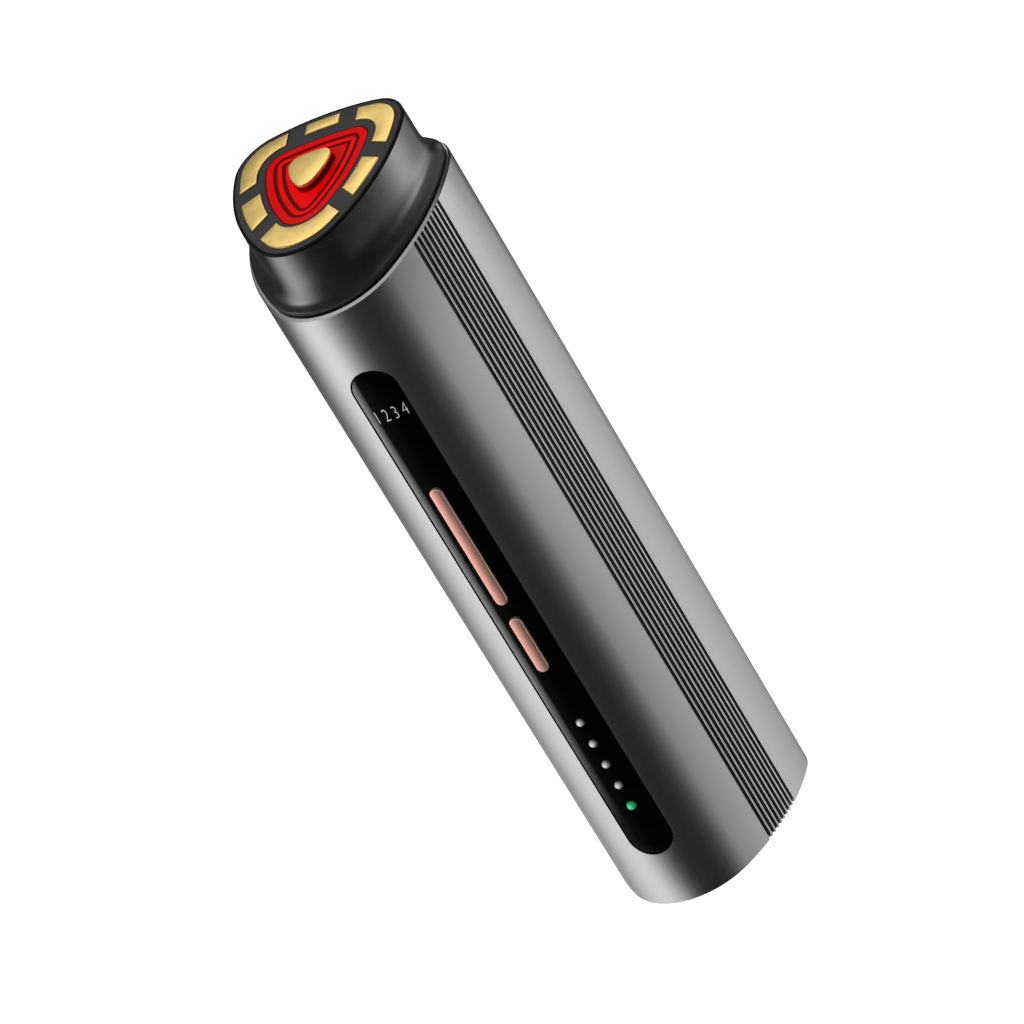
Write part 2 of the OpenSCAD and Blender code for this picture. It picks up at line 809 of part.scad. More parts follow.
module base_cap() {
  post_h = lower_z;
  color([0.12, 0.12, 0.13]) difference() {
    union() {
      linear_extrude(cap_t) section(body_sec, cap_inset + cap_fit);
      for (side = [-1, 1]) translate([side * post_x, 0, 0]) cylinder(d = cap_post_d, h = post_h);
    }
    translate([0, port_y, -past]) linear_extrude(cap_t + 2 * past) rotate(90)
      capsule(port_h + 2 * port_fit, port_w + 2 * port_fit);
    for (side = [-1, 1]) translate([side * post_x, 0, -past]) {
      cylinder(d = base_screw_d + screw_play, h = post_h + 2 * past);
      cylinder(d = base_screw_head_d + screw_play, h = base_screw_head_h + past);
    }
  }
}

module base_screws() {
  color("silver") for (side = [-1, 1]) translate([side * post_x, 0, 0]) {
    translate([0, 0, base_screw_head_h / 2]) cylinder(d = base_screw_head_d, h = base_screw_head_h / 2);
    translate([0, 0, base_screw_head_h])
      cylinder(d = base_screw_d, h = lower_z + base_screw_grip - base_screw_head_h);
  }
}

module charge_port() {
  color("silver") translate([0, port_y, port_z]) {
    difference() {
      linear_extrude(port_l) rotate(90) capsule(port_h, port_w);
      translate([0, 0, -past]) linear_extrude(port_l + past - port_back_t) rotate(90)
        capsule(port_h - 2 * port_wall, port_w - 2 * port_wall);
    }
    translate([-port_tongue_w / 2, -port_tongue_t / 2, port_tongue_z])
      cube([port_tongue_w, port_tongue_t, port_l - port_tongue_z - port_back_t / 2]);
  }
}

module charge_board() {
  color([0.1, 0.35, 0.2])
    translate([-charge_board_w / 2, port_y + port_h / 2, cap_t])
      cube([charge_board_w, charge_board_t, lower_z - cap_t - charge_board_gap]);
}

// ---- control strip ----

module lens_places() for (i = [0:4]) translate([0, 0, lens_top_z - i * lens_pitch]) children();

// Outlines of both keys, grown all round
module key_outlines(grow) {
  capsule(key_w + 2 * grow, long_key_l + 2 * grow, long_key_z);
  capsule(key_w + 2 * grow, short_key_l + 2 * grow, short_key_z);
}

module front_panel() {
  color([0.02, 0.02, 0.02]) difference() {
    intersection() {
      front_slab(panel_back_y, front_y - past) capsule(panel_w, panel_l, panel_z);
      translate([0, front_centre(body_sec)[1], 0])
        cylinder(r = body_front_r + panel_proud, h = rim_z, $fn = 180);
    }
    front_slab(panel_back_y + past, front_y - past) key_outlines(key_fit);
    lens_places() front_pin(0, lens_d + 2 * lens_fit, panel_back_y + past, front_y - past);
  }
}

module light_mask() {
  color([0.1, 0.1, 0.1]) difference() {
    front_slab(board_front_y, panel_back_y)
      capsule(panel_w - 2 * mask_margin, panel_l - 2 * mask_margin, panel_z);
    front_slab(board_front_y + past, panel_back_y - past) {
      key_outlines(key_lip + mask_key_gap);
      translate([0, display_z])
        square([display_w + 2 * display_gap, display_h + 2 * display_gap], center = true);
    }
    lens_places() front_pin(0, lens_d + 2 * lens_mask_gap, board_front_y + past, panel_back_y - past);
  }
}

module key_board() {
  color([0.1, 0.35, 0.2])
    translate([-key_board_w / 2, board_front_y, board_bottom_z])
      cube([key_board_w, key_board_t, board_top_z - board_bottom_z]);
}

module key_switch(z) {
  color([0.7, 0.7, 0.7]) {
    front_slab(board_front_y, button_y + button_h) translate([0, z]) square(switch_w, center = true);
    front_pin(z, button_d, board_front_y - 0.2, button_y);
  }
}

module indicator_leds() {
  color([0.95, 0.95, 0.8]) lens_places()
    front_slab(board_front_y, board_front_y - led_t) square(led_size, center = true);
}

module mode_display() {
  color([0.8, 0.8, 0.8])
    front_slab(board_front_y, panel_back_y + display_gap)
      translate([0, display_z]) square([display_w, display_h], center = true);
}

module push_key(length, z) {
  color([0.78, 0.55, 0.48]) {
    front_slab(panel_back_y + key_lip_t / 2, front_y - key_proud) capsule(key_w, length, z);
    front_slab(panel_back_y + key_lip_t, panel_back_y) capsule(key_w + 2 * key_lip, length + 2 * key_lip, z);
    front_pin(z, key_nub_d, key_nub_y, panel_back_y);
  }
}

module indicator_lens(i, tint) {
  stem = lens_stem_y - front_y + panel_proud;
  spread = asin(lens_d / 2 / lens_dome_r);
  dome = [
    for (k = [0:6])
      let (t = spread * (1 - k / 6)) [lens_dome_r * sin(t), stem + lens_dome_r * (cos(t) - cos(spread))]
  ];
  color(tint) translate([0, lens_stem_y, lens_top_z - i * lens_pitch]) rotate([90, 0, 0])
    rotate_extrude() polygon(concat([[0, 0], [lens_d / 2, 0]], dome));
}

body_tube();
head_shell();
head_gasket();
face_plate();
light_window();
centre_electrode();
electrode(front_post) front_shape();  // front_electrode
mirror([1, 0, 0]) electrode(rear_corner_post) rear_corner_shape();  // rear_left_electrode
electrode(rear_corner_post) rear_corner_shape();  // rear_right_electrode
mirror([1, 0, 0]) electrode(side_bar_post) side_bar_shape();  // left_bar_electrode
electrode(side_bar_post) side_bar_shape();  // right_bar_electrode
electrode(rear_bar_post) rear_bar_shape();  // rear_bar_electrode
contact_pins();
head_board();
head_leds();
thermistor();
head_board_screws();
head_flex();
head_screws();
chassis();
main_board();
main_board_screws();
controller_chip();
rf_transformer();
power_capacitors();
battery();
battery_pad();
charge_board();
charge_port();
base_cap();
base_screws();
front_panel();
light_mask();
key_board();
key_flex();
key_switch(long_key_z);  // long_switch
key_switch(short_key_z);  // short_switch
indicator_leds();
mode_display();
push_key(long_key_l, long_key_z);  // long_key
push_key(short_key_l, short_key_z);  // short_key
indicator_lens(0, "white");  // level_lens_1
indicator_lens(1, "white");  // level_lens_2
indicator_lens(2, "white");  // level_lens_3
indicator_lens(3, "white");  // level_lens_4
indicator_lens(4, [0.2, 0.8, 0.5]);  // power_lens
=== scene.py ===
# %% [markdown]
# # A facial toning wand
# The wand is a slim aluminium tube with a rounded-triangle section. A black head
# closes its slanted top and carries gold electrodes round a red light window. A black
# strip with two keys and five lights runs down its front corner.
#
# The engineering solids come in first as a fixed frame. Each cell after that makes
# one visible piece over its solid, or gives a finish to a solid that stays.
# All sizes are in millimetres and are turned to metres where a mesh is placed.

# %% Load the frame
import math

import bmesh
import bpy
from mathutils import Matrix, Vector


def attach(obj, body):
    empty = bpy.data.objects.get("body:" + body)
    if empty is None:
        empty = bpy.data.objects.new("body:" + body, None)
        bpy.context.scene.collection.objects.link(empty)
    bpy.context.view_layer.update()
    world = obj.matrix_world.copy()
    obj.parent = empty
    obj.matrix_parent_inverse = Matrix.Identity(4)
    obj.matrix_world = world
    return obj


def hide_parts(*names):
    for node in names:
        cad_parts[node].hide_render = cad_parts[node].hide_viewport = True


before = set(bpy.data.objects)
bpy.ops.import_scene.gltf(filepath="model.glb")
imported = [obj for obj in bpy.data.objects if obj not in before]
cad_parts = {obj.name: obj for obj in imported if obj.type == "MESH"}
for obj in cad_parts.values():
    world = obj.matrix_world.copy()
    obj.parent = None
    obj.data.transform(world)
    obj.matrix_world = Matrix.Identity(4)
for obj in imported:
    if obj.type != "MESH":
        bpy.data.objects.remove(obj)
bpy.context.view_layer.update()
MM = 0.001
HOUSING = "housing"
print("frame nodes:", len(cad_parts))

# %% [markdown]
# ## The sizes that the pieces share
# A rounded triangle is seven numbers: width, reach to the front, reach to the back,
# and the radii of the front corner, back corners, bowed sides and bowed back. The tube,
# the face and the window each have their own seven, and every other outline is one of
# these drawn in or out, so the pieces stay parallel to each other as on the real wand.

# %% Shared sizes
BODY = (48, 25.3, 24.8, 17.2, 9, 50.4, 34)
FACE = (40.2, 23.2, 21, 11.75, 9.7, 47, 54)
WINDOW = (24.4, 14.3, 13, 6, 4.6, 40, 60)
CENTRE = (10, 4.8, 6, 2.6, 2.6, 14, 22)
RIM_Z = 168.0
RIM_SLOPE = math.tan(math.radians(9.95))
FACE_Z = 181.4
FACE_TILT = math.radians(7.4)
FACE_SLOPE = math.tan(FACE_TILT)
WALL = 1.6
NEAR = 0.01  # how close counts as the same height
ROUND_MID = 0.3  # where the middle ring of a rounded edge lies, as a share of its width
UPRIGHT = 0.5  # how far the normal of an upright face may rise or fall


def rim_height(x, y):
    """Height of the tube's slanted rim over a point"""
    return RIM_Z + y * RIM_SLOPE


print("face above rim:", round(FACE_Z - RIM_Z, 1), "mm")

# %% [markdown]
# ## Outlines
# An outline could be drawn as a curve and converted, but the grooves and the head need
# points that match from ring to ring. So each arc is stepped in code: a point, the
# direction straight out of the surface there, and whether it lies in a groove's floor.
# Drawing an outline in is then a step back along that direction.

# %% Points of a rounded triangle
def arc(centre, radius, angles):
    """Points on an arc, each with its outward direction"""
    spots = []
    for angle in angles:
        out_x, out_y = math.cos(math.radians(angle)), math.sin(math.radians(angle))
        spots.append((centre[0] + radius * out_x, centre[1] + radius * out_y, out_x, out_y, 0))
    return spots


def spread(start, end, count):
    """Even steps from start towards end, which is left out"""
    return [start + (end - start) * i / count for i in range(count)]


def corners(section):
    """Centres of the front, side, back and rear arcs, and the angles where they meet"""
    width, front, rear, front_r, back_r, side_r, rear_r = section
    front_c, rear_c = Vector((0, front_r - front)), Vector((0, rear - rear_r))
    x = width / 2 - back_r
    back_c = Vector((x, rear - rear_r + math.sqrt((rear_r - back_r) ** 2 - x * x)))
    span = (back_c - front_c).length
    along = (back_c - front_c) / span
    p, q = side_r - front_r, side_r - back_r
    foot = (p * p - q * q + span * span) / (2 * span)
    side_c = front_c + along * foot + Vector((-along.y, along.x)) * math.sqrt(p * p - foot * foot)
    meets = [math.degrees(math.atan2(v.y, v.x)) for v in
             (front_c - side_c, back_c - side_c, back_c - rear_c)]
    return (front_c, side_c, back_c, rear_c), meets


def outline(section, counts=(24, 14, 20, 10), side_spots=None):
    """All points of a rounded triangle, anticlockwise from the middle of the front"""
    (front_c, side_c, back_c, rear_c), (a, b, c) = corners(section)
    half = arc(front_c, section[3], spread(-90, a, counts[0]))
    half += side_spots or arc(side_c, section[5], spread(a, b, counts[1]))
    half += arc(back_c, section[4], spread(b, c, counts[2]))
    half += arc(rear_c, section[6], spread(c, 90, counts[3])) + [(0, section[2], 0, 1, 0)]
    other = [(-x, y, -out_x, out_y, sunk) for x, y, out_x, out_y, sunk in half[-2:0:-1]]
    return half + other


def ring(spots, inset, height, sink=0):
    """An outline drawn in by inset, with groove floors deeper by sink, at a height"""
    points = []
    for x, y, out_x, out_y, sunk in spots:
        step = inset + sink * sunk
        px, py = x - out_x * step, y - out_y * step
        points.append((px, py, height(px, py) if callable(height) else height))
    return points


print("points round the face:", len(outline(FACE)))

# %% [markdown]
# ## Skinning rings
# Most pieces of the wand are moulded or extruded shells. By hand one would add a
# circle, shape it to the outline, extrude its edge and reshape it again and again. The
# helper does that: a circle primitive, one edge extrusion per ring, and its ends are
# filled, or joined to each other with a bridge.

# %% Skin a list of rings
SAME_SPOT = 0.002


def deselect():
    """Leaves object mode with nothing selected"""
    if bpy.context.object and bpy.context.object.mode != "OBJECT":
        bpy.ops.object.mode_set(mode="OBJECT")
    bpy.ops.object.select_all(action="DESELECT")


def open_mesh(piece):
    """The mesh of a piece that is in edit mode, with nothing selected"""
    bpy.ops.mesh.select_all(action="DESELECT")
    return bmesh.from_edit_mesh(piece.data)


def key_of(point):
    """A point as a key to find it by, rounded so that it is found again"""
    return tuple(round(value, 8) for value in point)


def skin(name, rings, ends="fill"):
    """A mesh through rings of equal count; its ends are filled or bridged to each other"""
    deselect()
    bpy.ops.mesh.primitive_circle_add(vertices=len(rings[0]), radius=20 * MM)
    piece = bpy.context.object
    piece.name = piece.data.name = name
    rings = [[Vector(point) * MM for point in points] for points in rings]
    for vertex, point in zip(piece.data.vertices, rings[0]):
        vertex.co = point
    bpy.ops.object.mode_set(mode="EDIT")
    bpy.ops.mesh.select_all(action="SELECT")
    mesh = bmesh.from_edit_mesh(piece.data)
    order = list(mesh.verts)
    for points in rings[1:]:
        bpy.ops.mesh.extrude_edges_move()
        mesh = bmesh.from_edit_mesh(piece.data)
        fresh = {key_of(vertex.co): vertex for vertex in mesh.verts if vertex.select}
        order = [fresh[key_of(vertex.co)] for vertex in order]
        for vertex, point in zip(order, points):
            vertex.co = point
    first_keys, last_keys = set(map(key_of, rings[0])), set(map(key_of, rings[-1]))
    for keys in ([first_keys | last_keys] if ends == "bridge" else [first_keys, last_keys]):
        mesh = open_mesh(piece)
        for vertex in mesh.verts:
            vertex.select = key_of(vertex.co) in keys
        mesh.select_flush_mode()
        if ends == "bridge":
            bpy.ops.mesh.bridge_edge_loops()
        else:
            bpy.ops.mesh.edge_face_add()
    bpy.ops.mesh.select_all(action="SELECT")
    bpy.ops.mesh.remove_doubles(threshold=SAME_SPOT * MM)
    bpy.ops.mesh.normals_make_consistent(inside=False)
    bpy.ops.object.mode_set(mode="OBJECT")
    return piece


# %% [markdown]
# ## Finishing a mesh
# A Bevel modifier takes the sharpness off an edge and a Boolean cuts an opening. Both
# are applied at once, so each piece stays one plain mesh. Shading is smooth, but breaks at
# real edges. A second finish is given to faces that a test picks by place and direction.

# %% Round, cut and shade
def work_on(piece):
    """Makes a piece the active one and the only one selected"""
    deselect()
    piece.select_set(True)
    bpy.context.view_layer.objects.active = piece


def apply_modifier(piece, kind, **settings):
    """Gives a piece a modifier with these settings, and applies it"""
    modifier = piece.modifiers.new(kind.lower(), kind)
    for name, value in settings.items():
        setattr(modifier, name, value)
    work_on(piece)
    bpy.ops.object.modifier_apply(modifier=modifier.name)


def round_edges(piece, width, segments, angle):
    """Rounds every edge sharper than angle"""
    apply_modifier(piece, "BEVEL", width=width * MM, segments=segments, limit_method="ANGLE",
                   angle_limit=math.radians(angle))


def carve(piece, tool):
    """Cuts another mesh out and throws it away"""
    apply_modifier(piece, "BOOLEAN", operation="DIFFERENCE", solver="EXACT", object=tool)
    bpy.data.objects.remove(tool)


def smooth(piece, angle):
    """Smooth shading that keeps edges sharper than angle crisp"""
    work_on(piece)
    bpy.ops.object.shade_smooth_by_angle(angle=math.radians(angle))


def put_on_face(piece):
    """Moves a piece from the flat to the slanted face, and applies its place"""
    work_on(piece)
    piece.rotation_euler = (FACE_TILT, 0, 0)
    piece.location = (0, 0, FACE_Z * MM)
    bpy.ops.object.transform_apply()


# %% Give finishes
def extra_finish(piece, material, chosen):
    """Gives another finish to the faces that a test picks, by their middle and normal"""
    piece.data.materials.append(material)
    picked = [face for face in piece.data.polygons if chosen(face.center / MM, face.normal)]
    for face in picked:
        face.material_index = len(piece.data.materials) - 1
    print(piece.name, "faces in", material.name, ":", len(picked))


def report(piece):
    """Prints how many faces a piece has, and its size in mm"""
    size = [round(value / MM, 2) for value in piece.dimensions]
    print(piece.name, "faces:", len(piece.data.polygons), "size:", size)


def finish_piece(piece, material, slot, *nodes, body=HOUSING):
    """Gives a piece its finish, its body and the solids that it stands for"""
    piece.data.materials.clear()
    piece.data.materials.append(material)
    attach(piece, body)
    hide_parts(*nodes)
    report(piece)


# %% [markdown]
# ## A way to write materials
# A material is a small tree of nodes. Colours are written as sRGB hex values, as a
# designer picks them, and one function turns them to the linear numbers that a
# shader wants. Another adds a node with its settings and links. Nearly every finish is
# then a Principled shader with a mottle: noise with a grain size in mm that moves its
# roughness and tone a little, because no real surface is quite even.

# %% Colours and nodes
def colour(code):
    """Linear RGBA from an sRGB hex value"""
    values = [int(code[i:i + 2], 16) / 255 for i in (0, 2, 4)]
    return [v / 12.92 if v <= 0.04045 else ((v + 0.055) / 1.055) ** 2.4 for v in values] + [1]


def add(tree, kind, inputs=None, **settings):
    """Adds a node, sets its properties, and links or fills its inputs"""
    made = tree.nodes.new("ShaderNode" + kind)
    for name, value in settings.items():
        setattr(made, name, value)
    for name, value in (inputs or {}).items():
        if isinstance(value, bpy.types.NodeSocket):
            tree.links.new(value, made.inputs[name])
        else:
            made.inputs[name].default_value = value
    return made


def start(name, **shader):
    """A new material with a Principled shader, whose plain values are set on its sockets"""
    material = bpy.data.materials.new(name)
    material.use_nodes = True
    print("finish:", name)
    tree = material.node_tree
    skin_node = tree.nodes["Principled BSDF"]
    for key, value in shader.items():
        skin_node.inputs[key.replace("_", " ")].default_value = value
    place = add(tree, "TexCoord").outputs["Object"]
    return material, tree, skin_node, place


# %% The mottle
NOISE_SPAN, TONE_SPAN = (0.3, 0.7), (0.35, 0.65)  # the middle range, where most noise lies
LENGTHWAYS = 0.02  # draws the noise out fifty times along the tube


def tint(tree, skin_node, value, stops):
    """Base colour that runs through (position, hex value) stops as a value grows"""
    ramp = add(tree, "ValToRGB", {"Fac": value})
    for at, _ in stops[1:-1]:
        ramp.color_ramp.elements.new(at)
    for stop, (at, code) in zip(ramp.color_ramp.elements, stops):
        stop.position, stop.color = at, colour(code)
    tree.links.new(ramp.outputs["Color"], skin_node.inputs["Base Color"])


def texture(tree, skin_node, place, grain, rough, tone=None, bump=0.0, along=1.0):
    """Noise of a grain size in mm that moves roughness, relief and, between two colours, tone"""
    spots = add(tree, "Mapping", {"Vector": place, "Scale": (1, 1, along)}).outputs["Vector"]
    noise = add(tree, "TexNoise", {"Vector": spots, "Scale": 1 / (grain * MM), "Detail": 3.0})
    value = noise.outputs["Fac"]
    levels = add(tree, "MapRange", {"Value": value, "From Min": NOISE_SPAN[0],
                                    "From Max": NOISE_SPAN[1], "To Min": rough[0],
                                    "To Max": rough[1]})
    tree.links.new(levels.outputs["Result"], skin_node.inputs["Roughness"])
    if bump:
        relief = add(tree, "Bump", {"Height": value, "Distance": bump * MM, "Strength": 1.0})
        tree.links.new(relief.outputs["Normal"], skin_node.inputs["Normal"])
    if tone:
        tint(tree, skin_node, value, list(zip(TONE_SPAN, tone)))


def mottled(name, grain, rough, tone, bump=0.0, along=1.0, **shader):
    """A whole finish: a Principled shader and its mottle"""
    material, *parts = start(name, **shader)
    texture(*parts, grain, rough, tone, bump, along)
    return material


def run(tree, place, axis, begin, end):
    """A value that grows from 0 to 1 along an axis, between two places in mm"""
    spot = add(tree, "SeparateXYZ", {0: place}).outputs[axis]
    level = add(tree, "MapRange", {"Value": spot, "From Min": begin * MM, "From Max": end * MM})
    return level.outputs["Result"]


# %% [markdown]
# ## Metals
# The tube is extruded aluminium, bead blasted and anodised grey. The beads leave dents
# of about 0.05 mm, too fine to show, so they are drawn at 0.2 mm, and the die leaves
# faint lines along the tube. The keys are the same metal with a rose-gold dye, and the
# electrodes are brass with satin gold plating. A metal keeps the shader's own IOR, and
# what tells these apart is their colour, their roughness and how metallic they are.

# %% Metal finishes
# A soft, even grey sheen
GRIT, GRIT_DEPTH = 0.2, 0.0012
aluminium, tree, shader, place = start("bead_blasted_grey_anodised_aluminium", Metallic=1.0)
texture(tree, shader, place, 0.9, (0.28, 0.31), ("A8A8A9", "ABABAC"), along=LENGTHWAYS)
grit = add(tree, "TexNoise", {"Vector": place, "Scale": 1 / (GRIT * MM), "Detail": 1.0})
relief = add(tree, "Bump", {"Height": grit.outputs["Fac"], "Distance": GRIT_DEPTH * MM})
tree.links.new(relief.outputs["Normal"], shader.inputs["Normal"])

# Painted shade: a darker copy of the tube's metal on the grooves' walls and floors, a dark line
# each
groove_painted_shade = mottled("painted_shade_groove_aluminium", 0.9, (0.28, 0.31), ("868688", "8C8C8E"),
                       along=LENGTHWAYS, Metallic=1.0)

# Painted highlight on the rim's chamfer: its tone is dull at the left, bright in front, dark at
# the right
RIM_HIGHLIGHT_SPAN = (-14, 24)
RIM_HIGHLIGHT_TONES = ((0, "6C6C6C"), (0.27, "C8C8C8"), (0.8, "F0F0F0"), (0.92, "D8D8D8"), (0.98, "4C4C4C"))
rim_painted_highlight, tree, shader, place = start("chamfer_painted_highlight", Metallic=0.55)
texture(tree, shader, place, 0.3, (0.45, 0.55))
tint(tree, shader, run(tree, place, "X", *RIM_HIGHLIGHT_SPAN), RIM_HIGHLIGHT_TONES)

# A pink glow drawn out along the key, and a pale line where the chamfer is cut after the dye
rose_gold = mottled("rose_gold_anodised_aluminium", 0.3, (0.26, 0.34), ("CC9284", "D39A8C"),
                    along=0.05, Metallic=0.85)
cut_rose = mottled("bright_cut_rose_gold_edge", 0.3, (0.35, 0.45), ("F2D6CC", "F8DED4"),
                   Metallic=0.5)

# A warm gleam with blurred mirror images
gold = mottled("satin_gold_plated_brass", 1.2, (0.27, 0.32), ("E6C470", "ECCC7C"), Metallic=0.93)

# Cool grey with small bright glints on the screw heads
steel = mottled("nickel_plated_steel", 0.3, (0.25, 0.4), ("B9BABB", "C8C9CA"), Metallic=1.0)

# %% [markdown]
# ## Plastics and lenses
# The head is moulded ABS with a half-gloss skin, and the bezel is the same plastic from
# a spark-eroded mould, so it looks like fine charcoal sand. The strip is a hard-coated,
# back-printed panel with a mirror gloss. The window is clear red polycarbonate lit from
# behind, and the small domes are frosted. A little emission stands for the light inside.

# %% Head and strip finishes
# Deep black under a lacquer that blurs what it mirrors
abs_gloss = mottled("lacquered_black_abs", 2.5, (0.2, 0.26), ("151516", "19191A"), IOR=1.54,
                    Specular_IOR_Level=1.0, Coat_Weight=1.0, Coat_Roughness=0.16)

# Charcoal with a fine grain and next to no shine
bezel = mottled("spark_textured_charcoal_abs", 0.22, (0.45, 0.55), ("2A2A2B", "323233"), 0.004,
                IOR=1.54, Specular_IOR_Level=0.1)

# The deepest black of all, as its coating takes the reflections away
panel_gloss = mottled("anti_reflection_coated_black_panel", 6, (0.05, 0.08), ("020202", "040404"),
                      IOR=1.49, Specular_IOR_Level=0.015)

# A dull line between the gloss of the head and the sand of the bezel
matt_rim = mottled("matt_black_abs_rim", 0.3, (0.6, 0.7), ("0B0B0C", "111112"), IOR=1.54,
                   Specular_IOR_Level=0.05)

# Painted reflection: a grey strip on the left of the bevel that fades out across it and upward
REFLECTION_ACROSS, REFLECTION_UP = (-2.7, -4.5), (24, 66)
panel_painted_reflection, tree, shader, place = start("panel_bevel_painted_reflection", IOR=1.49,
                                        Specular_IOR_Level=0.015)
texture(tree, shader, place, 3, (0.2, 0.3))
across, upward = run(tree, place, "X", *REFLECTION_ACROSS), run(tree, place, "Z", *REFLECTION_UP)
painted_reflection_fade = add(tree, "Math", {0: across, 1: upward}, operation="MULTIPLY")
tint(tree, shader, painted_reflection_fade.outputs[0], ((0, "030303"), (1, "7A7A7A")))

# %% Window, lens and numeral finishes
# One red glow for the window and a weaker one for its outer ring; its walls get a darker
# red without glow, as painted shade
DOME_SHADE_STOPS = (0.15, 0.65, 1.0)
RED = {"IOR": 1.58, "Specular_IOR_Level": 0.02}
GLOW = colour("FF0000")
red_lens = mottled("backlit_red_polycarbonate", 1.5, (0.2, 0.3), ("8C0002", "960002"), **RED,
                   Emission_Color=GLOW, Emission_Strength=0.42)
red_ring = mottled("edge_lit_red_polycarbonate", 1.5, (0.2, 0.3), ("980002", "A20003"), **RED,
                   Emission_Color=GLOW, Emission_Strength=0.25)
red_painted_shade = mottled("red_polycarbonate_painted_shade", 1.0, (0.25, 0.35), ("520002", "600002"), **RED)


# The stops above set where the domes' painted shade darkens, from the middle to the rim
def dome_with_painted_shade(name, tones, **shader_values):
    """A frosted dome with painted shade, brightest in its middle and darker out to its rim"""
    material, tree, shader, place = start(name, IOR=1.58, **shader_values)
    texture(tree, shader, place, 0.3, (0.3, 0.4))
    from_axis = add(tree, "Attribute", attribute_name="from_axis").outputs["Fac"]
    tint(tree, shader, from_axis, list(zip(DOME_SHADE_STOPS, tones)))
    return material


frosted = dome_with_painted_shade("frosted_white_polycarbonate", ("E4E4E2", "B4B4B4", "4A4A4C"))
green_lens = dome_with_painted_shade("lit_green_polycarbonate", ("30D08A", "1FA468", "08402A"),
                        Emission_Color=colour("10B068"), Emission_Strength=0.3)

# Even grey-white, as of light behind a dark panel
lit_white = mottled("lit_white_numerals", 0.4, (0.3, 0.4), ("9E9E9E", "AAAAAA"), IOR=1.5,
                    Emission_Color=colour("D8D8D8"), Emission_Strength=0.2)

# %% [markdown]
# ## Finishes inside and under the wand
# These solids stay as they are and only get a finish. Circuit boards have a green
# solder mask, the cell a blue shrink sleeve, the frame is pale glass-filled nylon, and
# the flexible circuits are amber polyimide. One table lists them all: name, grain,
# roughness, two tones, relief, IOR and the solids.

# %% Inner finishes
INNER = [
    ("green_solder_mask", 0.8, (0.25, 0.35), ("12492A", "185833"), 0, 1.5,
     ["main_board", "key_board", "head_board", "charge_board"]),
    ("epoxy_chip_black", 0.2, (0.5, 0.6), ("1A1A1B", "232325"), 0.004, 1.5,
     ["controller_chip", "rf_transformer"]),
    ("blue_shrink_sleeve", 1.5, (0.3, 0.4), ("25567F", "2C628F"), 0, 1.5,
     ["battery", "power_capacitors"]),
    ("grey_foam_pad", 0.4, (0.8, 0.95), ("3A3A3B", "555557"), 0.05, 1.45, ["battery_pad"]),
    ("glass_filled_nylon", 0.5, (0.45, 0.6), ("CFCFC9", "DBDBD6"), 0.01, 1.53,
     ["chassis", "mode_display"]),
    ("amber_polyimide_flex", 1.0, (0.25, 0.35), ("B8701E", "C67E28"), 0, 1.7,
     ["head_flex", "key_flex", "thermistor"]),
    ("black_silicone_seal", 0.4, (0.6, 0.75), ("151515", "1D1D1D"), 0.004, 1.41, ["head_gasket"]),
    ("moulded_matt_black_abs", 0.3, (0.4, 0.5), ("1B1B1C", "232324"), 0.004, 1.54,
     ["base_cap", "light_mask", "long_switch", "short_switch"]),
    ("led_phosphor", 0.3, (0.4, 0.5), ("D8D49A", "E6E2B0"), 0, 1.5, ["indicator_leds"]),
    ("white_ceramic_led", 0.4, (0.3, 0.4), ("D9D9D6", "E6E6E3"), 0, 1.7, ["head_leds"]),
]
FINISHES = [(mottled(*looks, IOR=ior), names) for *looks, ior, names in INNER]
FINISHES += [(steel, ["head_screws", "head_board_screws", "main_board_screws", "base_screws",
                      "charge_port"]), (gold, ["contact_pins"])]
for material, names in FINISHES:
    for name in names:
        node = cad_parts[name]
        node.data.materials.clear()
        node.data.materials.append(material)
print("finished solids:", sum(len(names) for _, names in FINISHES))

# %% [markdown]
# ## The tube
# The real tube is one extrusion with its grooves in the die, sawn off on a slant at
# the top, with the edge broken by a small chamfer, which gets a painted highlight. Nine
# grooves run down each side, with painted shade on their walls and floors. They could be
# cut with Booleans, but as part of the outline they stay clean from end to end: each has
# two points on the surface and two on its floor. Near the top the floor rises to the
# surface, so that the groove ends just under the rim.

# %% Groove points on the side
GROOVES, PITCH, GROOVE_W, GROOVE_FLOOR, GROOVE_DEPTH, GROOVE_TURN = 9, 1.41, 0.98, 0.8, 0.6, 1.8
(_, side_c, _, _), (side_start, side_end, _) = corners(BODY)
side_r = BODY[5]
per_mm = math.degrees(1 / side_r)
groove_mid = (side_start + side_end) / 2 - GROOVE_TURN
first_groove = groove_mid - (GROOVES - 1) / 2 * PITCH * per_mm - GROOVE_W / 2 * per_mm
last_groove = groove_mid + (GROOVES - 1) / 2 * PITCH * per_mm + GROOVE_W / 2 * per_mm

side_spots = arc(side_c, side_r, spread(side_start, first_groove, 9))
for i in range(GROOVES):
    at = groove_mid + (i - (GROOVES - 1) / 2) * PITCH * per_mm
    for offset, sunk in ((-GROOVE_W, 0), (-GROOVE_FLOOR, 1), (GROOVE_FLOOR, 1), (GROOVE_W, 0)):
        x, y, out_x, out_y, _ = arc(side_c, side_r, [at + offset / 2 * per_mm])[0]
        side_spots.append((x, y, out_x, out_y, sunk))
side_spots += arc(side_c, side_r, spread(last_groove, side_end, 12)[1:])
tube_spots = outline(BODY, counts=(44, 0, 34, 20), side_spots=side_spots)
print("points round the tube:", len(tube_spots))

# %% Tube
CAP_SEAT, CAP_INSET = 2.5, 0.8
FOOT_ROUND, FOOT_MID, BORE_ROUND = 0.25, 0.07, 0.1
CHAMFER, GROOVE_TOP = 0.45, 0.36
SLANTED = (0.2, 0.95)


def under_rim(drop):
    """A height that follows the rim, drop below it"""
    return lambda x, y: rim_height(x, y) - drop


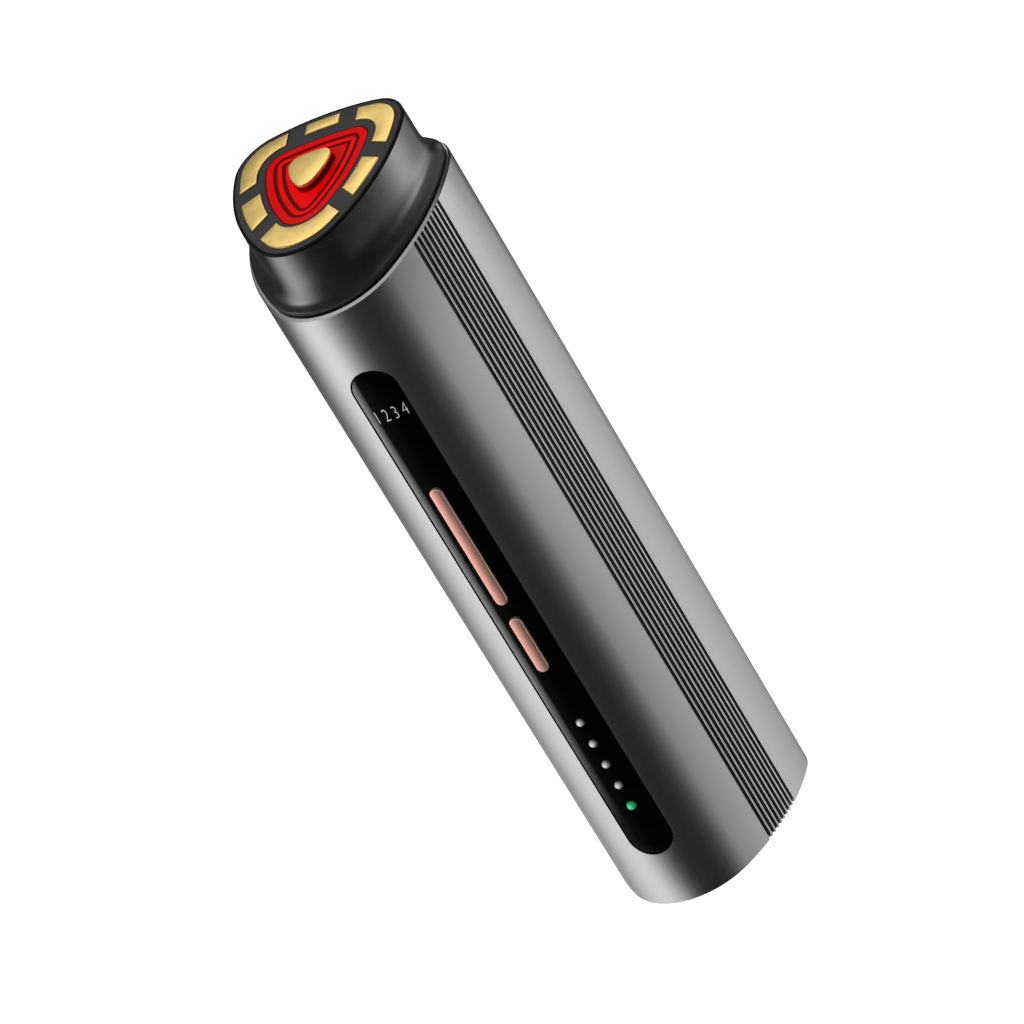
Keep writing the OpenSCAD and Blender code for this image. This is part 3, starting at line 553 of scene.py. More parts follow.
tube = skin("body_tube_extrusion", [
    ring(tube_spots, CAP_INSET, 0),
    ring(tube_spots, FOOT_ROUND, 0, GROOVE_DEPTH),
    ring(tube_spots, FOOT_MID, FOOT_MID, GROOVE_DEPTH),
    ring(tube_spots, 0, FOOT_ROUND, GROOVE_DEPTH),
    ring(tube_spots, 0, under_rim(CHAMFER + GROOVE_TOP), GROOVE_DEPTH),
    ring(tube_spots, 0, under_rim(CHAMFER)),
    ring(tube_spots, CHAMFER, under_rim(0)),
    ring(tube_spots, WALL - BORE_ROUND, under_rim(0)),
    ring(tube_spots, WALL, under_rim(BORE_ROUND)),
    ring(tube_spots, WALL, CAP_SEAT),
    ring(tube_spots, CAP_INSET, CAP_SEAT),
], ends="bridge")
report(tube)

# %% [markdown]
# The strip sits in a long opening with round ends in the tube's front corner. On the
# real tube a milling cutter makes it, and here a capsule-shaped block does, with a
# Boolean. The outline has narrow steps there, so that the cut edge stays smooth.

# %% Capsule outlines
PANEL_W, PANEL_L, PANEL_Z, PANEL_FIT = 10.2, 134.46, 81.43, 0.1
FRONT_Y = -BODY[1]
PANEL_BACK = FRONT_Y + 2.15


def capsule(width, length, height, steps=24):
    """Points of an upright capsule seen from the front, each with its outward direction"""
    spots = []
    rise = (length - width) / 2
    for middle_z, begin in ((height + rise, 0), (height - rise, 180)):
        for i in range(steps + 1):
            angle = math.radians(begin + 180 * i / steps)
            out_x, out_z = math.cos(angle), math.sin(angle)
            spots.append((out_x * width / 2, middle_z + out_z * width / 2, out_x, out_z))
    return spots


def front_ring(spots, inset, depth):
    """A capsule drawn in by inset, at a depth that may follow x"""
    points = []
    for x, z, out_x, out_z in spots:
        px, pz = x - out_x * inset, z - out_z * inset
        points.append((px, depth(px) if callable(depth) else depth, pz))
    return points


def capsule_block(width, length, height, back, front):
    """A straight block with a capsule outline, as a cutting tool"""
    spots = capsule(width, length, height)
    return skin("block", [front_ring(spots, 0, back), front_ring(spots, 0, front)])


# %% Opening in the tube
carve(tube, capsule_block(PANEL_W + 2 * PANEL_FIT, PANEL_L + 2 * PANEL_FIT, PANEL_Z,
                          FRONT_Y + BODY[3] / 2, FRONT_Y - 1))
smooth(tube, 28)
finish_piece(tube, aluminium, "anodised_tube", "body_tube")


def on_the_rim(middle, normal):
    """Whether a face belongs to the small chamfer of the rim, which gets the painted highlight"""
    low = rim_height(middle.x, middle.y) - CHAMFER - NEAR
    return SLANTED[0] < normal.z < SLANTED[1] and middle.z > low


def in_groove(middle, normal):
    """Whether a face is the wall or the floor of a groove"""
    arm = Vector((abs(middle.x) - side_c.x, middle.y - side_c.y))
    angle = math.degrees(math.atan2(arm.y, arm.x))
    sunk = side_r - arm.length
    beside = first_groove - per_mm < angle < last_groove + per_mm
    return beside and GROOVE_DEPTH / 3 < sunk < WALL - BORE_ROUND and abs(normal.z) < UPRIGHT


# The rim's chamfer gets its painted highlight
extra_finish(tube, rim_painted_highlight, on_the_rim)
# The grooves' walls and floors get painted shade
extra_finish(tube, groove_painted_shade, in_groove)

# %% [markdown]
# ## The head shell
# The shell is one moulding: a spigot that slides into the tube, an upright collar
# that follows the rim, a shoulder that sweeps in, and a neck whose outline turns from
# the tube's to the face's while its slant eases. It is skinned from rings. The rings
# blend two outlines that have the same number of points, and a power curve puts most
# of the step just above the collar. The collar keeps the mould's sandy texture, and the
# thin edge round the face plate is matt.

# %% Head rings
COLLAR_GAP, COLLAR_INSET, COLLAR_H = 0.3, 0.8, 0.8
SHOULDER_POWER, SWELL = 8, 0.04
FACE_EDGE, PLATE_T, SEAL_T = 0.5, 3.4, 0.4
HEAD_COUNTS = (24, 18, 22, 12)
body_spots = outline(BODY, HEAD_COUNTS)
face_spots = outline(FACE, HEAD_COUNTS)
collar_low = RIM_Z + COLLAR_GAP + COLLAR_H


def head_ring(share, inset=0.0):
    """Ring of the skin at a share of the way from the collar to the face"""
    blend = 1 - (1 - share) ** SHOULDER_POWER - SWELL * math.sin(math.pi * share)
    slope = RIM_SLOPE + (FACE_SLOPE - RIM_SLOPE) * share
    points = []
    for (ax, ay, aox, aoy, _), (bx, by, box, boy, _) in zip(body_spots, face_spots):
        ax, ay = ax - aox * (COLLAR_INSET + inset), ay - aoy * (COLLAR_INSET + inset)
        bx, by = bx - box * inset, (by - boy * inset) * math.cos(FACE_TILT)
        x, y = ax * (1 - blend) + bx * blend, ay * (1 - blend) + by * blend
        points.append((x, y, collar_low + (FACE_Z - collar_low) * share + slope * y))
    return points


def lowered(points, drop):
    """The same ring, lower by drop"""
    return [(x, y, z - drop) for x, y, z in points]


def face_ring(inset, depth):
    """Upright outline of the face drawn in by inset, at a depth below the face's plane"""
    points = ring(face_spots, inset, 0)
    drop = depth / math.cos(FACE_TILT)
    return [(x, y * math.cos(FACE_TILT), FACE_Z + y * math.cos(FACE_TILT) * FACE_SLOPE - drop)
            for x, y, _ in points]


print("points round the head:", len(face_spots))

# %% Head shell
SPIGOT_INSET, BORE_INSET, SPIGOT_LOW, FLOOR_T, BORE_DROP = 1.75, 3.45, 155, 2, 1.2
CAVITY_INSET, CAVITY_DEPTH = 1.8, 12
HEAD_ROUND, MATT_DEPTH = 0.12, 0.35
STEPS, CROWDING = 30, 1.3  # the rings crowd towards the collar
shares = [(i / STEPS) ** CROWDING for i in range(1, STEPS)]
round_mid = HEAD_ROUND * ROUND_MID
head = skin("head_shell_moulding", [
    ring(body_spots, SPIGOT_INSET, SPIGOT_LOW),
    ring(body_spots, SPIGOT_INSET, under_rim(-COLLAR_GAP)),
    ring(body_spots, COLLAR_INSET + HEAD_ROUND, under_rim(-COLLAR_GAP)),
    lowered(head_ring(0), COLLAR_H - HEAD_ROUND),
    lowered(head_ring(0), HEAD_ROUND),
    lowered(head_ring(0, round_mid), round_mid),
    *[head_ring(share) for share in shares],
    face_ring(0, HEAD_ROUND),
    face_ring(round_mid, round_mid),
    face_ring(HEAD_ROUND, 0),
    face_ring(FACE_EDGE, 0),
    face_ring(FACE_EDGE, PLATE_T + SEAL_T),
    face_ring(CAVITY_INSET, PLATE_T + SEAL_T),
    face_ring(CAVITY_INSET, PLATE_T + SEAL_T + CAVITY_DEPTH - 1),
    ring(body_spots, BORE_INSET, under_rim(BORE_DROP)),
    ring(body_spots, BORE_INSET, SPIGOT_LOW + FLOOR_T),
])
smooth(head, 40)
finish_piece(head, abs_gloss, "head_gloss", "head_shell")
level_out = Matrix.Rotation(-FACE_TILT, 3, "X")


def on_face(middle):
    """A point as seen on the face laid flat: x, y and its height over the face"""
    return level_out @ (middle - Vector((0, 0, FACE_Z)))


def on_collar(middle, normal):
    """Whether a face belongs to the outside of the upright collar"""
    up = middle.z - rim_height(middle.x, middle.y)
    outward = middle.x * normal.x + middle.y * normal.y > 0
    return COLLAR_GAP < up < COLLAR_GAP + COLLAR_H and outward and abs(normal.z) < UPRIGHT


extra_finish(head, matt_rim, lambda middle, normal: on_face(middle).z > -MATT_DEPTH)
extra_finish(head, bezel, on_collar)

# %% [markdown]
# ## The face plate
# The bezel is a plate with a window opening and a shallow pocket for each electrode. The
# electrode outlines are made once, as blocks: a slab with the face's outline, cut
# along the ribs with bisect and cut inside by the window's outline. The same block, a
# little larger, makes the pocket, as an insert mould would.

# %% Slabs and electrode blocks
POCKET, PROUD, FIT = 0.8, 0.35, 0.05
BEZEL_EDGE, RIB_W = 1.9, 4.3
REAR_RIB, SIDE_RIB, FRONT_RIB = (6.2, 17, 90), (15, 1.6, -27), (9.2, -11.8, -50)
BESIDE, BEYOND = -1, 1


def slab(name, section, inset, low, high):
    """A straight slab with a rounded-triangle outline, lying flat"""
    spots = outline(section)
    return skin(name, [ring(spots, inset, low), ring(spots, inset, high)])


def trim(piece, x, y, angle, keep, gap):
    """Cuts a slab along a line and keeps what is beyond it or beside it, gap away"""
    turn = math.radians(angle)
    across = Vector((-math.sin(turn), math.cos(turn), 0)) * keep
    at = (Vector((x, y, 0)) + across * gap) * MM
    work_on(piece)
    bpy.ops.object.mode_set(mode="EDIT")
    bpy.ops.mesh.select_all(action="SELECT")
    bpy.ops.mesh.bisect(plane_co=at, plane_no=across, use_fill=True, clear_inner=True)
    bpy.ops.object.mode_set(mode="OBJECT")


def mirrored(rib):
    """A rib's line on the other side of the wand"""
    x, y, angle = rib
    return -x, y, 180 - angle


def electrode_block(name, window_gap, cuts, low, high, grow=0.0):
    """A block of an electrode's outline; cuts are (rib, side to keep)"""
    block = slab(name, FACE, BEZEL_EDGE - grow, low, high)
    for rib, keep in cuts:
        trim(block, *rib, keep, RIB_W / 2 - grow if rib in RIBS else 0)
    carve(block, slab("hole", WINDOW, -window_gap + grow, low - 1, high + 1))
    return block


# %% [markdown]
# Each electrode lies between two ribs. The table gives its gap to the window and where
# it is cut: a rib, and the side of the rib that is kept. The right-hand ribs are the
# ones above, and the left-hand ones mirror them.

# %% Outlines of the electrodes
LEFT_REAR_RIB, LEFT_SIDE_RIB, LEFT_FRONT_RIB = map(mirrored, (REAR_RIB, SIDE_RIB, FRONT_RIB))
RIBS = [REAR_RIB, SIDE_RIB, FRONT_RIB, LEFT_REAR_RIB, LEFT_SIDE_RIB, LEFT_FRONT_RIB]
MIDDLE, HALFWAY = (0, 0, -90), (0, 0, 0)
SHAPES = {
    "front_electrode": (0.8, [(FRONT_RIB, BESIDE), (LEFT_FRONT_RIB, BEYOND)]),
    "rear_bar_electrode": (2.7, [(REAR_RIB, BEYOND), (LEFT_REAR_RIB, BESIDE), (HALFWAY, BEYOND)]),
    "rear_right_electrode": (1.9, [(REAR_RIB, BESIDE), (SIDE_RIB, BEYOND), (MIDDLE, BEYOND)]),
    "right_bar_electrode": (1.1, [(SIDE_RIB, BESIDE), (FRONT_RIB, BEYOND)]),
    "rear_left_electrode": (1.9, [(LEFT_REAR_RIB, BEYOND), (LEFT_SIDE_RIB, BESIDE),
                                  (MIDDLE, BESIDE)]),
    "left_bar_electrode": (1.1, [(LEFT_SIDE_RIB, BEYOND), (LEFT_FRONT_RIB, BESIDE)]),
}
print("electrodes round the window:", len(SHAPES))

# %% Face plate with its pockets
LEDGE, WINDOW_T, PLATE_ROUND = 1.2, 2.4, 0.12
plate = slab("face_plate_moulding", FACE, FACE_EDGE + FIT, -PLATE_T, 0)
round_edges(plate, PLATE_ROUND, 2, 35)
carve(plate, slab("window seat", WINDOW, -FIT, -WINDOW_T, 1))
carve(plate, slab("window light", WINDOW, LEDGE, -PLATE_T - 1, 1))
for name, (gap, cuts) in SHAPES.items():
    carve(plate, electrode_block("pocket", gap, cuts, -POCKET, 1, FIT))
put_on_face(plate)
smooth(plate, 30)
finish_piece(plate, bezel, "bezel", "face_plate")

# %% [markdown]
# ## The electrodes
# Each gold pad is stamped and plated, so its edges roll over softly and its top is a
# little crowned, which gives the satin its run of light. A Bevel rounds the edges. The
# flat top is then sliced into small cells, and each point is lifted by how far it lies
# from the rim. A few rounds of smoothing take off the ridge where the slopes meet.

# %% Rim of a pad
def on_top(vertex):
    """Whether a point lies on a pad's flat top"""
    return abs(vertex.co.z / MM - PROUD) < NEAR


def top_border(pad):
    """Segments round the flat top of a pad, each as x, y, x, y"""
    mesh = bmesh.from_edit_mesh(pad.data)
    flat = [face for face in mesh.faces if face.normal.z > 0.99 and all(map(on_top, face.verts))]
    inside = {face.index for face in flat}
    border = []
    for face in flat:
        for side in face.edges:
            if sum(other.index in inside for other in side.link_faces) == 1:
                border.append([v / MM for v in (*side.verts[0].co.xy, *side.verts[1].co.xy)])
    return border


def rim_distance(x, y, border):
    """Distance from a point to the nearest of the border's segments"""
    near = 1e9
    for ax, ay, bx, by in border:
        dx, dy = bx - ax, by - ay
        length = dx * dx + dy * dy
        t = max(0, min(1, ((x - ax) * dx + (y - ay) * dy) / length)) if length else 0
        near = min(near, math.hypot(x - ax - t * dx, y - ay - t * dy))
    return near


# %% Crown of a pad
CELL, CROWN, CROWN_REACH, FIXED_RIM = 0.45, 0.1, 2.2, 0.02


def slice_top(pad, border):
    """Slices the flat top into cells, and merges points that are close together"""
    for axis in (0, 1):
        values = [v for segment in border for v in (segment[axis], segment[axis + 2])]
        low, high = min(values), max(values)
        count = int((high - low) / CELL)
        for i in range(1, count):
            mesh = open_mesh(pad)
            for face in mesh.faces:
                if all(map(on_top, face.verts)):
                    face.select_set(True)
            place, across = [0, 0, 0], [0, 0, 0]
            place[axis] = (low + (high - low) * i / count) * MM
            across[axis] = 1
            bpy.ops.mesh.bisect(plane_co=place, plane_no=across)
    mesh = open_mesh(pad)
    for vertex in mesh.verts:
        vertex.select_set(on_top(vertex))
    bpy.ops.mesh.remove_doubles(threshold=CELL / 3 * MM)


def crown_top(pad):
    """Lifts the sliced top to a low dome"""
    work_on(pad)
    bpy.ops.object.mode_set(mode="EDIT")
    border = top_border(pad)
    slice_top(pad, border)
    mesh = open_mesh(pad)
    for vertex in filter(on_top, mesh.verts):
        far = rim_distance(vertex.co.x / MM, vertex.co.y / MM, border)
        if far > FIXED_RIM:
            vertex.co.z += CROWN * (1 - (1 - min(far / CROWN_REACH, 1)) ** 2) * MM
            vertex.select_set(True)
    bmesh.update_edit_mesh(pad.data)
    bpy.ops.mesh.vertices_smooth(factor=0.5, repeat=3)
    bpy.ops.object.mode_set(mode="OBJECT")


# %% Electrodes
EDGE_ROUND = 0.28
for name, (gap, cuts) in SHAPES.items():
    pad = electrode_block(name + "_pad", gap, cuts, -POCKET, PROUD)
    round_edges(pad, EDGE_ROUND, 4, 40)
    crown_top(pad)
    put_on_face(pad)
    smooth(pad, 40)
    finish_piece(pad, gold, "gold", name)

# %% [markdown]
# The centre pad stands alone on the window's pedestal. Nothing cuts into its outline, so
# it is skinned from rings: a rolled edge, and then the outline drawn towards its middle
# and lifted, which makes an even dome.

# %% Centre electrode
PEDESTAL_H, CENTRE_T, CENTRE_SHIFT = 1.1, 0.8, 0.45
CENTRE_CROWN, FOOT_EDGE = 0.22, 0.15
CENTRE_EDGE = [(0.0, -0.2), (0.03, -0.1), (0.1, -0.03), (0.2, 0.01)]
CROWN_SHARES = (0.93, 0.85, 0.76, 0.67, 0.58, 0.49, 0.4, 0.31, 0.22, 0.13, 0.05)


def centre_outline(counts):
    """Points of the centre pad, moved back to where it stands"""
    return [(x, y + CENTRE_SHIFT, *rest) for x, y, *rest in outline(CENTRE, counts)]


centre_spots = centre_outline((14, 8, 14, 6))
top = PEDESTAL_H + CENTRE_T


def crowned(share):
    """The pad's outline drawn towards its middle and lifted to a low dome"""
    height = top + CENTRE_CROWN * (1 - share * share)
    return [(x * share, (y - CENTRE_SHIFT) * share + CENTRE_SHIFT, height)
            for x, y, *_ in centre_spots]


pad = skin("centre_electrode_pad", [
    ring(centre_spots, FOOT_EDGE, PEDESTAL_H),
    ring(centre_spots, 0.0, PEDESTAL_H + FOOT_EDGE),
    *[ring(centre_spots, inset, top + rise) for inset, rise in CENTRE_EDGE],
    *[crowned(share) for share in CROWN_SHARES],
])
put_on_face(pad)
smooth(pad, 50)
finish_piece(pad, gold, "gold", "centre_electrode")

# %% [markdown]
# ## The red window
# The window is a stepped dish with a pedestal in its middle that carries the centre
# electrode. Rings of the same outline, drawn in and lowered, make the steps. The light
# comes through the flats. The gutter at the foot of each step, the steep walls and the
# very edge get a darker red of the same plastic, without glow, as painted shade, so a dark
# line runs in each gutter. The outer ring, which lies over the ledge, is lit only from
# its edge.

# %% Window
STEP_W, STEP_H, GUTTER_W, GUTTER_H = 2, 0.08, 0.85, 0.1
WINDOW_ROUND, GUTTER_LEAN, LIP_FLAT = 0.04, 0.05, 0.3
FLARED_FOOT = [(-0.4, 0), (-0.1, 0.2), (0.05, 0.6)]
window_counts = (20, 12, 18, 8)
window_spots = outline(WINDOW, window_counts)
foot_spots = centre_outline(window_counts)
dish = -2 * STEP_H
step_rings = []
for i in (1, 2):
    at, high, low = i * STEP_W, (1 - i) * STEP_H, -i * STEP_H
    step_rings += [
        ring(window_spots, at - WINDOW_ROUND, high),
        ring(window_spots, at, high - WINDOW_ROUND),
        ring(window_spots, at + GUTTER_LEAN, low - GUTTER_H),
        ring(window_spots, at + GUTTER_W - GUTTER_LEAN, low - GUTTER_H),
        ring(window_spots, at + GUTTER_W, low),
    ]
window = skin("light_window_dish", [
    ring(window_spots, 0, -WINDOW_T),
    ring(window_spots, 0, -WINDOW_ROUND),
    ring(window_spots, WINDOW_ROUND, 0),
    ring(window_spots, LIP_FLAT, 0),
    *step_rings,
    *[ring(foot_spots, inset, dish + rise) for inset, rise in FLARED_FOOT],
    ring(foot_spots, 0.2, PEDESTAL_H),
])
put_on_face(window)
smooth(window, 35)
finish_piece(window, red_lens, "red_window", "light_window")

# %% Painted shade on the window
PAINTED_SHADE_EDGE, STEEP = 0.2, 0.7
ends = window_spots[1:] + window_spots[:1]
window_border = [(x, y, next_x, next_y)
                 for (x, y, *_), (next_x, next_y, *_) in zip(window_spots, ends)]


def window_inset(middle):
    """How far a point lies in from the window's outline"""
    place = on_face(middle)
    return rim_distance(place.x, place.y, window_border)


def in_painted_shade(middle, normal):
    """Whether a face gets painted shade: it is steep, or lies in a gutter or at the very edge"""
    inset = window_inset(middle)
    in_gutter = any(0 <= inset - i * STEP_W <= GUTTER_W for i in (1, 2))
    return (level_out @ normal).z < STEEP or in_gutter or inset < PAINTED_SHADE_EDGE


extra_finish(window, red_ring, lambda middle, normal: window_inset(middle) < STEP_W)
# Gutters, steep walls and the very edge get painted shade
extra_finish(window, red_painted_shade, in_painted_shade)

# %% [markdown]
# ## The control strip
# The strip is a gloss panel that carries on the tube's curve and stands a hair
# proud of it. It is skinned as capsules drawn in step by step, each point lifted
# to the cylinder of the front corner, so the gloss runs true. The keys' and
# lenses' openings are then cut through. Its edge is a wide, shallow bevel. On the left
# the bevel gets a painted reflection: a grey strip that fades out across it and upward.

# %% Strip and its bevel
PANEL_R = BODY[3] + 0.1
CORNER_Y = BODY[3] - BODY[1]
EDGE_W, EDGE_DROP, EDGE_SOFT, FLAT_RINGS = 2.4, 0.24, 0.28, 12
SEAM = 0.02  # the last ring stops a hair before the middle line


def strip_surface(x):
    """How far forward the strip's surface lies"""
    return CORNER_Y - math.sqrt(PANEL_R ** 2 - x * x)


def edge_ring(inset, drop):
    """A ring of the strip's bevel, drop below the strip's surface"""
    return front_ring(panel_spots, inset, lambda x: strip_surface(x) + drop)


panel_spots = capsule(PANEL_W, PANEL_L, PANEL_Z, 36)
flat = PANEL_W / 2 - EDGE_W - SEAM
strip = skin("front_panel_moulding", [
    front_ring(panel_spots, 0, PANEL_BACK),
    edge_ring(0, EDGE_DROP + EDGE_SOFT),
    edge_ring(EDGE_SOFT * ROUND_MID, EDGE_DROP + EDGE_SOFT * ROUND_MID),
    edge_ring(EDGE_SOFT, EDGE_DROP),
    edge_ring((EDGE_SOFT + EDGE_W) / 2, EDGE_DROP * 0.45),
    edge_ring(EDGE_W, 0),
    *[edge_ring(EDGE_W + flat * i / FLAT_RINGS, 0) for i in range(1, FLAT_RINGS + 1)],
])
report(strip)

# %% Openings for the keys and the lenses
KEY_W, KEY_FIT = 2.8, 0.12
KEYS = {"long_key": (31.5, 102.3), "short_key": (14.7, 75.2)}
LENS_D, LENS_X, LENS_TOP_Z, LENS_PITCH, LENSES = 2.1, 0.45, 52.55, 6.03, 5
HAIR = 0.001  # a capsule has to be a little longer than it is wide
through = (PANEL_BACK + 1, FRONT_Y - 1)
for length, height in KEYS.values():
    carve(strip, capsule_block(KEY_W + 2 * KEY_FIT, length + 2 * KEY_FIT, height, *through))
for i in range(LENSES):
    hole = LENS_D + 2 * FIT
    cutter = capsule_block(hole, hole + HAIR, LENS_TOP_Z - i * LENS_PITCH, *through)
    cutter.data.transform(Matrix.Translation((LENS_X * MM, 0, 0)))
    carve(strip, cutter)
smooth(strip, 25)
finish_piece(strip, panel_gloss, "panel_gloss", "front_panel")


def on_the_bevel(middle, normal):
    """Whether a face lies on the left of the bevel, between its soft edge and the flat"""
    half = (PANEL_L - PANEL_W) / 2
    along = max(PANEL_Z - half, min(PANEL_Z + half, middle.z))
    inset = PANEL_W / 2 - math.hypot(middle.x, middle.z - along)
    return middle.x < 0 and normal.y < -0.5 and EDGE_SOFT < inset < EDGE_W


# The left of the bevel gets its painted reflection
extra_finish(strip, panel_painted_reflection, on_the_bevel)

# %% [markdown]
# ## The keys
# Each key is a small anodised bar whose front is a low barrel. A wider lip behind the
# strip keeps it in. Its rings follow the barrel, with a fine steep chamfer at the edge.
# The chamfer is cut after the dye, so it is paler and catches the light. The key rides
# on its own body, so it sinks when pressed.

# %% Keys
LIP, LIP_T, KEY_PROUD, BARREL = 0.6, 0.6, 1.0, 0.16
KEY_EDGE = [(0, 0.24), (0.11, 0.05), (0.16, 0.018), (0.24, 0.004)]
KEY_FRONT = [(0.3 + 1.06 * i / 8, 0) for i in range(9)]
CHAMFER_FACING = (-0.9, -0.2)
for name, (length, height) in KEYS.items():
    lip_spots = capsule(KEY_W + 2 * LIP, length + 2 * LIP, height, 20)
    crown = []
    for inset, drop in KEY_EDGE + KEY_FRONT:
        crown.append(front_ring(
            lip_spots, LIP + inset,
            lambda x, drop=drop: FRONT_Y - KEY_PROUD + drop + BARREL * (2 * x / KEY_W) ** 2))
    bar = skin(name + "_bar", [
        front_ring(lip_spots, 0, PANEL_BACK + LIP_T),
        front_ring(lip_spots, 0, PANEL_BACK),
        front_ring(lip_spots, LIP, PANEL_BACK),
        *crown,
    ])
    smooth(bar, 40)
    finish_piece(bar, rose_gold, "rose_gold", name, body=name)
    extra_finish(bar, cut_rose,
                 lambda middle, normal: CHAMFER_FACING[0] < normal.y < CHAMFER_FACING[1])

# %% [markdown]
# ## The indicator lenses
# A lens is a light pipe with a domed tip. A sphere is cut off below the dome and its
# open edge is extruded back to make the stem. It is made once, and the other four
# are copies with their own mesh, moved down the strip.

# %% First lens
DOME_R, DOME_PROUD, LIT_GROWTH = 0.97, 0.99, 1.1
STEM_TOP, STEM_BACK = FRONT_Y - 0.1, -21.25
dome_y = FRONT_Y - DOME_PROUD + DOME_R
deselect()
bpy.ops.mesh.primitive_uv_sphere_add(segments=40, ring_count=28, radius=DOME_R * MM,
                                     location=(LENS_X * MM, dome_y * MM, LENS_TOP_Z * MM),
                                     rotation=(math.radians(90), 0, 0))
lens = bpy.context.object
bpy.ops.object.transform_apply()
bpy.ops.object.mode_set(mode="EDIT")
bpy.ops.mesh.select_all(action="SELECT")
bpy.ops.mesh.bisect(plane_co=(0, STEM_TOP * MM, 0), plane_no=(0, 1, 0), clear_outer=True)
stem = (0, (STEM_BACK - STEM_TOP) * MM, 0)
bpy.ops.mesh.extrude_edges_move(TRANSFORM_OT_translate={"value": stem})
bpy.ops.mesh.edge_face_add()
bpy.ops.mesh.select_all(action="SELECT")
bpy.ops.mesh.normals_make_consistent(inside=False)
bpy.ops.object.mode_set(mode="OBJECT")
smooth(lens, 40)
# The distance from the axis sets where the dome's painted shade darkens
from_axis = lens.data.attributes.new("from_axis", "FLOAT", "POINT")
for vertex, value in zip(lens.data.vertices, from_axis.data):
    value.value = math.hypot(vertex.co.x / MM - LENS_X, vertex.co.z / MM - LENS_TOP_Z) / DOME_R
report(lens)

# %% All five lenses
LENS_NAMES = ["level_lens_1", "level_lens_2", "level_lens_3", "level_lens_4", "power_lens"]
at_hole = Matrix.Translation((LENS_X * MM, 0, LENS_TOP_Z * MM))
wider = at_hole @ Matrix.Diagonal((LIT_GROWTH, 1, LIT_GROWTH, 1)) @ at_hole.inverted()
domes = [lens]
for name in LENS_NAMES[1:]:
    domes.append(lens.copy())
    domes[-1].data = lens.data.copy()
    bpy.context.collection.objects.link(domes[-1])
for i, (name, dome) in enumerate(zip(LENS_NAMES, domes)):
    dome.name = dome.data.name = name + "_dome"
    if name == "power_lens":
        dome.data.transform(wider)
    dome.data.transform(Matrix.Translation((0, 0, -i * LENS_PITCH * MM)))
    if name == "power_lens":
        finish_piece(dome, green_lens, "green_lens", name)
    else:
        finish_piece(dome, frosted, "white_lens", name)

# %% [markdown]
# ## The lit numerals
# The display shines through the dark panel. Plain numerals stand for it: a text
# object is turned to a mesh, fitted to its width and height, and each point is laid on
# the strip's curve just above the gloss. The letters' outline is first made thinner.

# %% Numerals
DISPLAY_X, DISPLAY_Z, NUMERALS_W, NUMERALS_H, PRINT_T = 0.75, 137.7, 7.1, 3.0, 0.03
THINNER = 0.016
deselect()
bpy.ops.object.text_add()
numerals = bpy.context.object
numerals.data.body = "1 2 3 4"
numerals.data.align_x, numerals.data.align_y = "CENTER", "CENTER"
numerals.data.offset = -THINNER
bpy.ops.object.convert(target="MESH")
numerals.name = numerals.data.name = "lit_numerals"
corners_x = [vertex.co.x for vertex in numerals.data.vertices]
corners_y = [vertex.co.y for vertex in numerals.data.vertices]
wide, tall = max(corners_x) - min(corners_x), max(corners_y) - min(corners_y)
mid_x, mid_y = (max(corners_x) + min(corners_x)) / 2, (max(corners_y) + min(corners_y)) / 2
for vertex in numerals.data.vertices:
    x = DISPLAY_X + (vertex.co.x - mid_x) / wide * NUMERALS_W
    z = DISPLAY_Z + (vertex.co.y - mid_y) / tall * NUMERALS_H
    vertex.co = Vector((x, strip_surface(x) - PRINT_T, z)) * MM
numerals.data.materials.append(lit_white)
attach(numerals, HOUSING)
report(numerals)

# %% [markdown]
# ## The studio
# A pale floor lies under the wand and the light is soft. The floor and the room look
# white to the camera, but give less light than that, so the wand isn't washed out. One
# helper parts the rays that see them from the rays that only carry light.

# %% Rays that see
def emptied(holder):
    """The node tree of a material or a world, with nothing in it"""
    holder.use_nodes = True
    holder.node_tree.nodes.clear()
    return holder.node_tree


def looking(tree):
    """1 for a ray of the camera, a mirror image or clear plastic, and otherwise 0"""
    rays = add(tree, "LightPath").outputs
    either = rays["Is Camera Ray"]
    for kind in ("Is Glossy Ray", "Is Transmission Ray"):
        either = add(tree, "Math", {0: either, 1: rays[kind]}, operation="MAXIMUM").outputs[0]
    return either


# %% Floor
FLOOR_Z, FLOOR_SIDE = -0.3, 8
deselect()
bpy.ops.mesh.primitive_plane_add(size=FLOOR_SIDE, location=(0, 0, FLOOR_Z))
floor = bpy.context.object
floor.name = "floor"
paper = bpy.data.materials.new("white_paper_floor")
tree = emptied(paper)
matt = add(tree, "BsdfDiffuse", {"Color": colour("E6E6E6")})
glow = add(tree, "Emission", {"Color": colour("FFFFFF"), "Strength": looking(tree)})
both = add(tree, "AddShader", {0: matt.outputs[0], 1: glow.outputs[0]})
add(tree, "OutputMaterial", {"Surface": both.outputs[0]})
floor.data.materials.append(paper)
print("floor at", FLOOR_Z, "m")

# %% World
ROOM_LIGHT = 0.2
world = bpy.data.worlds.new("soft_white_room")
bpy.context.scene.world = world
tree = emptied(world)
level = add(tree, "MapRange", {"Value": looking(tree), "To Min": ROOM_LIGHT, "To Max": 1.0})
back = add(tree, "Background", {"Color": colour("FFFFFF"), "Strength": level.outputs["Result"]})
add(tree, "OutputWorld", {"Surface": back.outputs[0]})
print("world:", world.name)

# %% [markdown]
# Two soft lamps light the wand: a strong one high up at the front left, and a weak one
# at the right. Gloss doesn't see them, so no square of light shows on the tube.

# %% Lights
AIM = Vector((0, 0, 0.1))


def towards(bearing, distance, height):
    """A place round the wand: bearing 0 is +X and 90 is +Y, in metres"""
    turn = math.radians(bearing)
    return Vector((math.cos(turn) * distance, math.sin(turn) * distance, height))


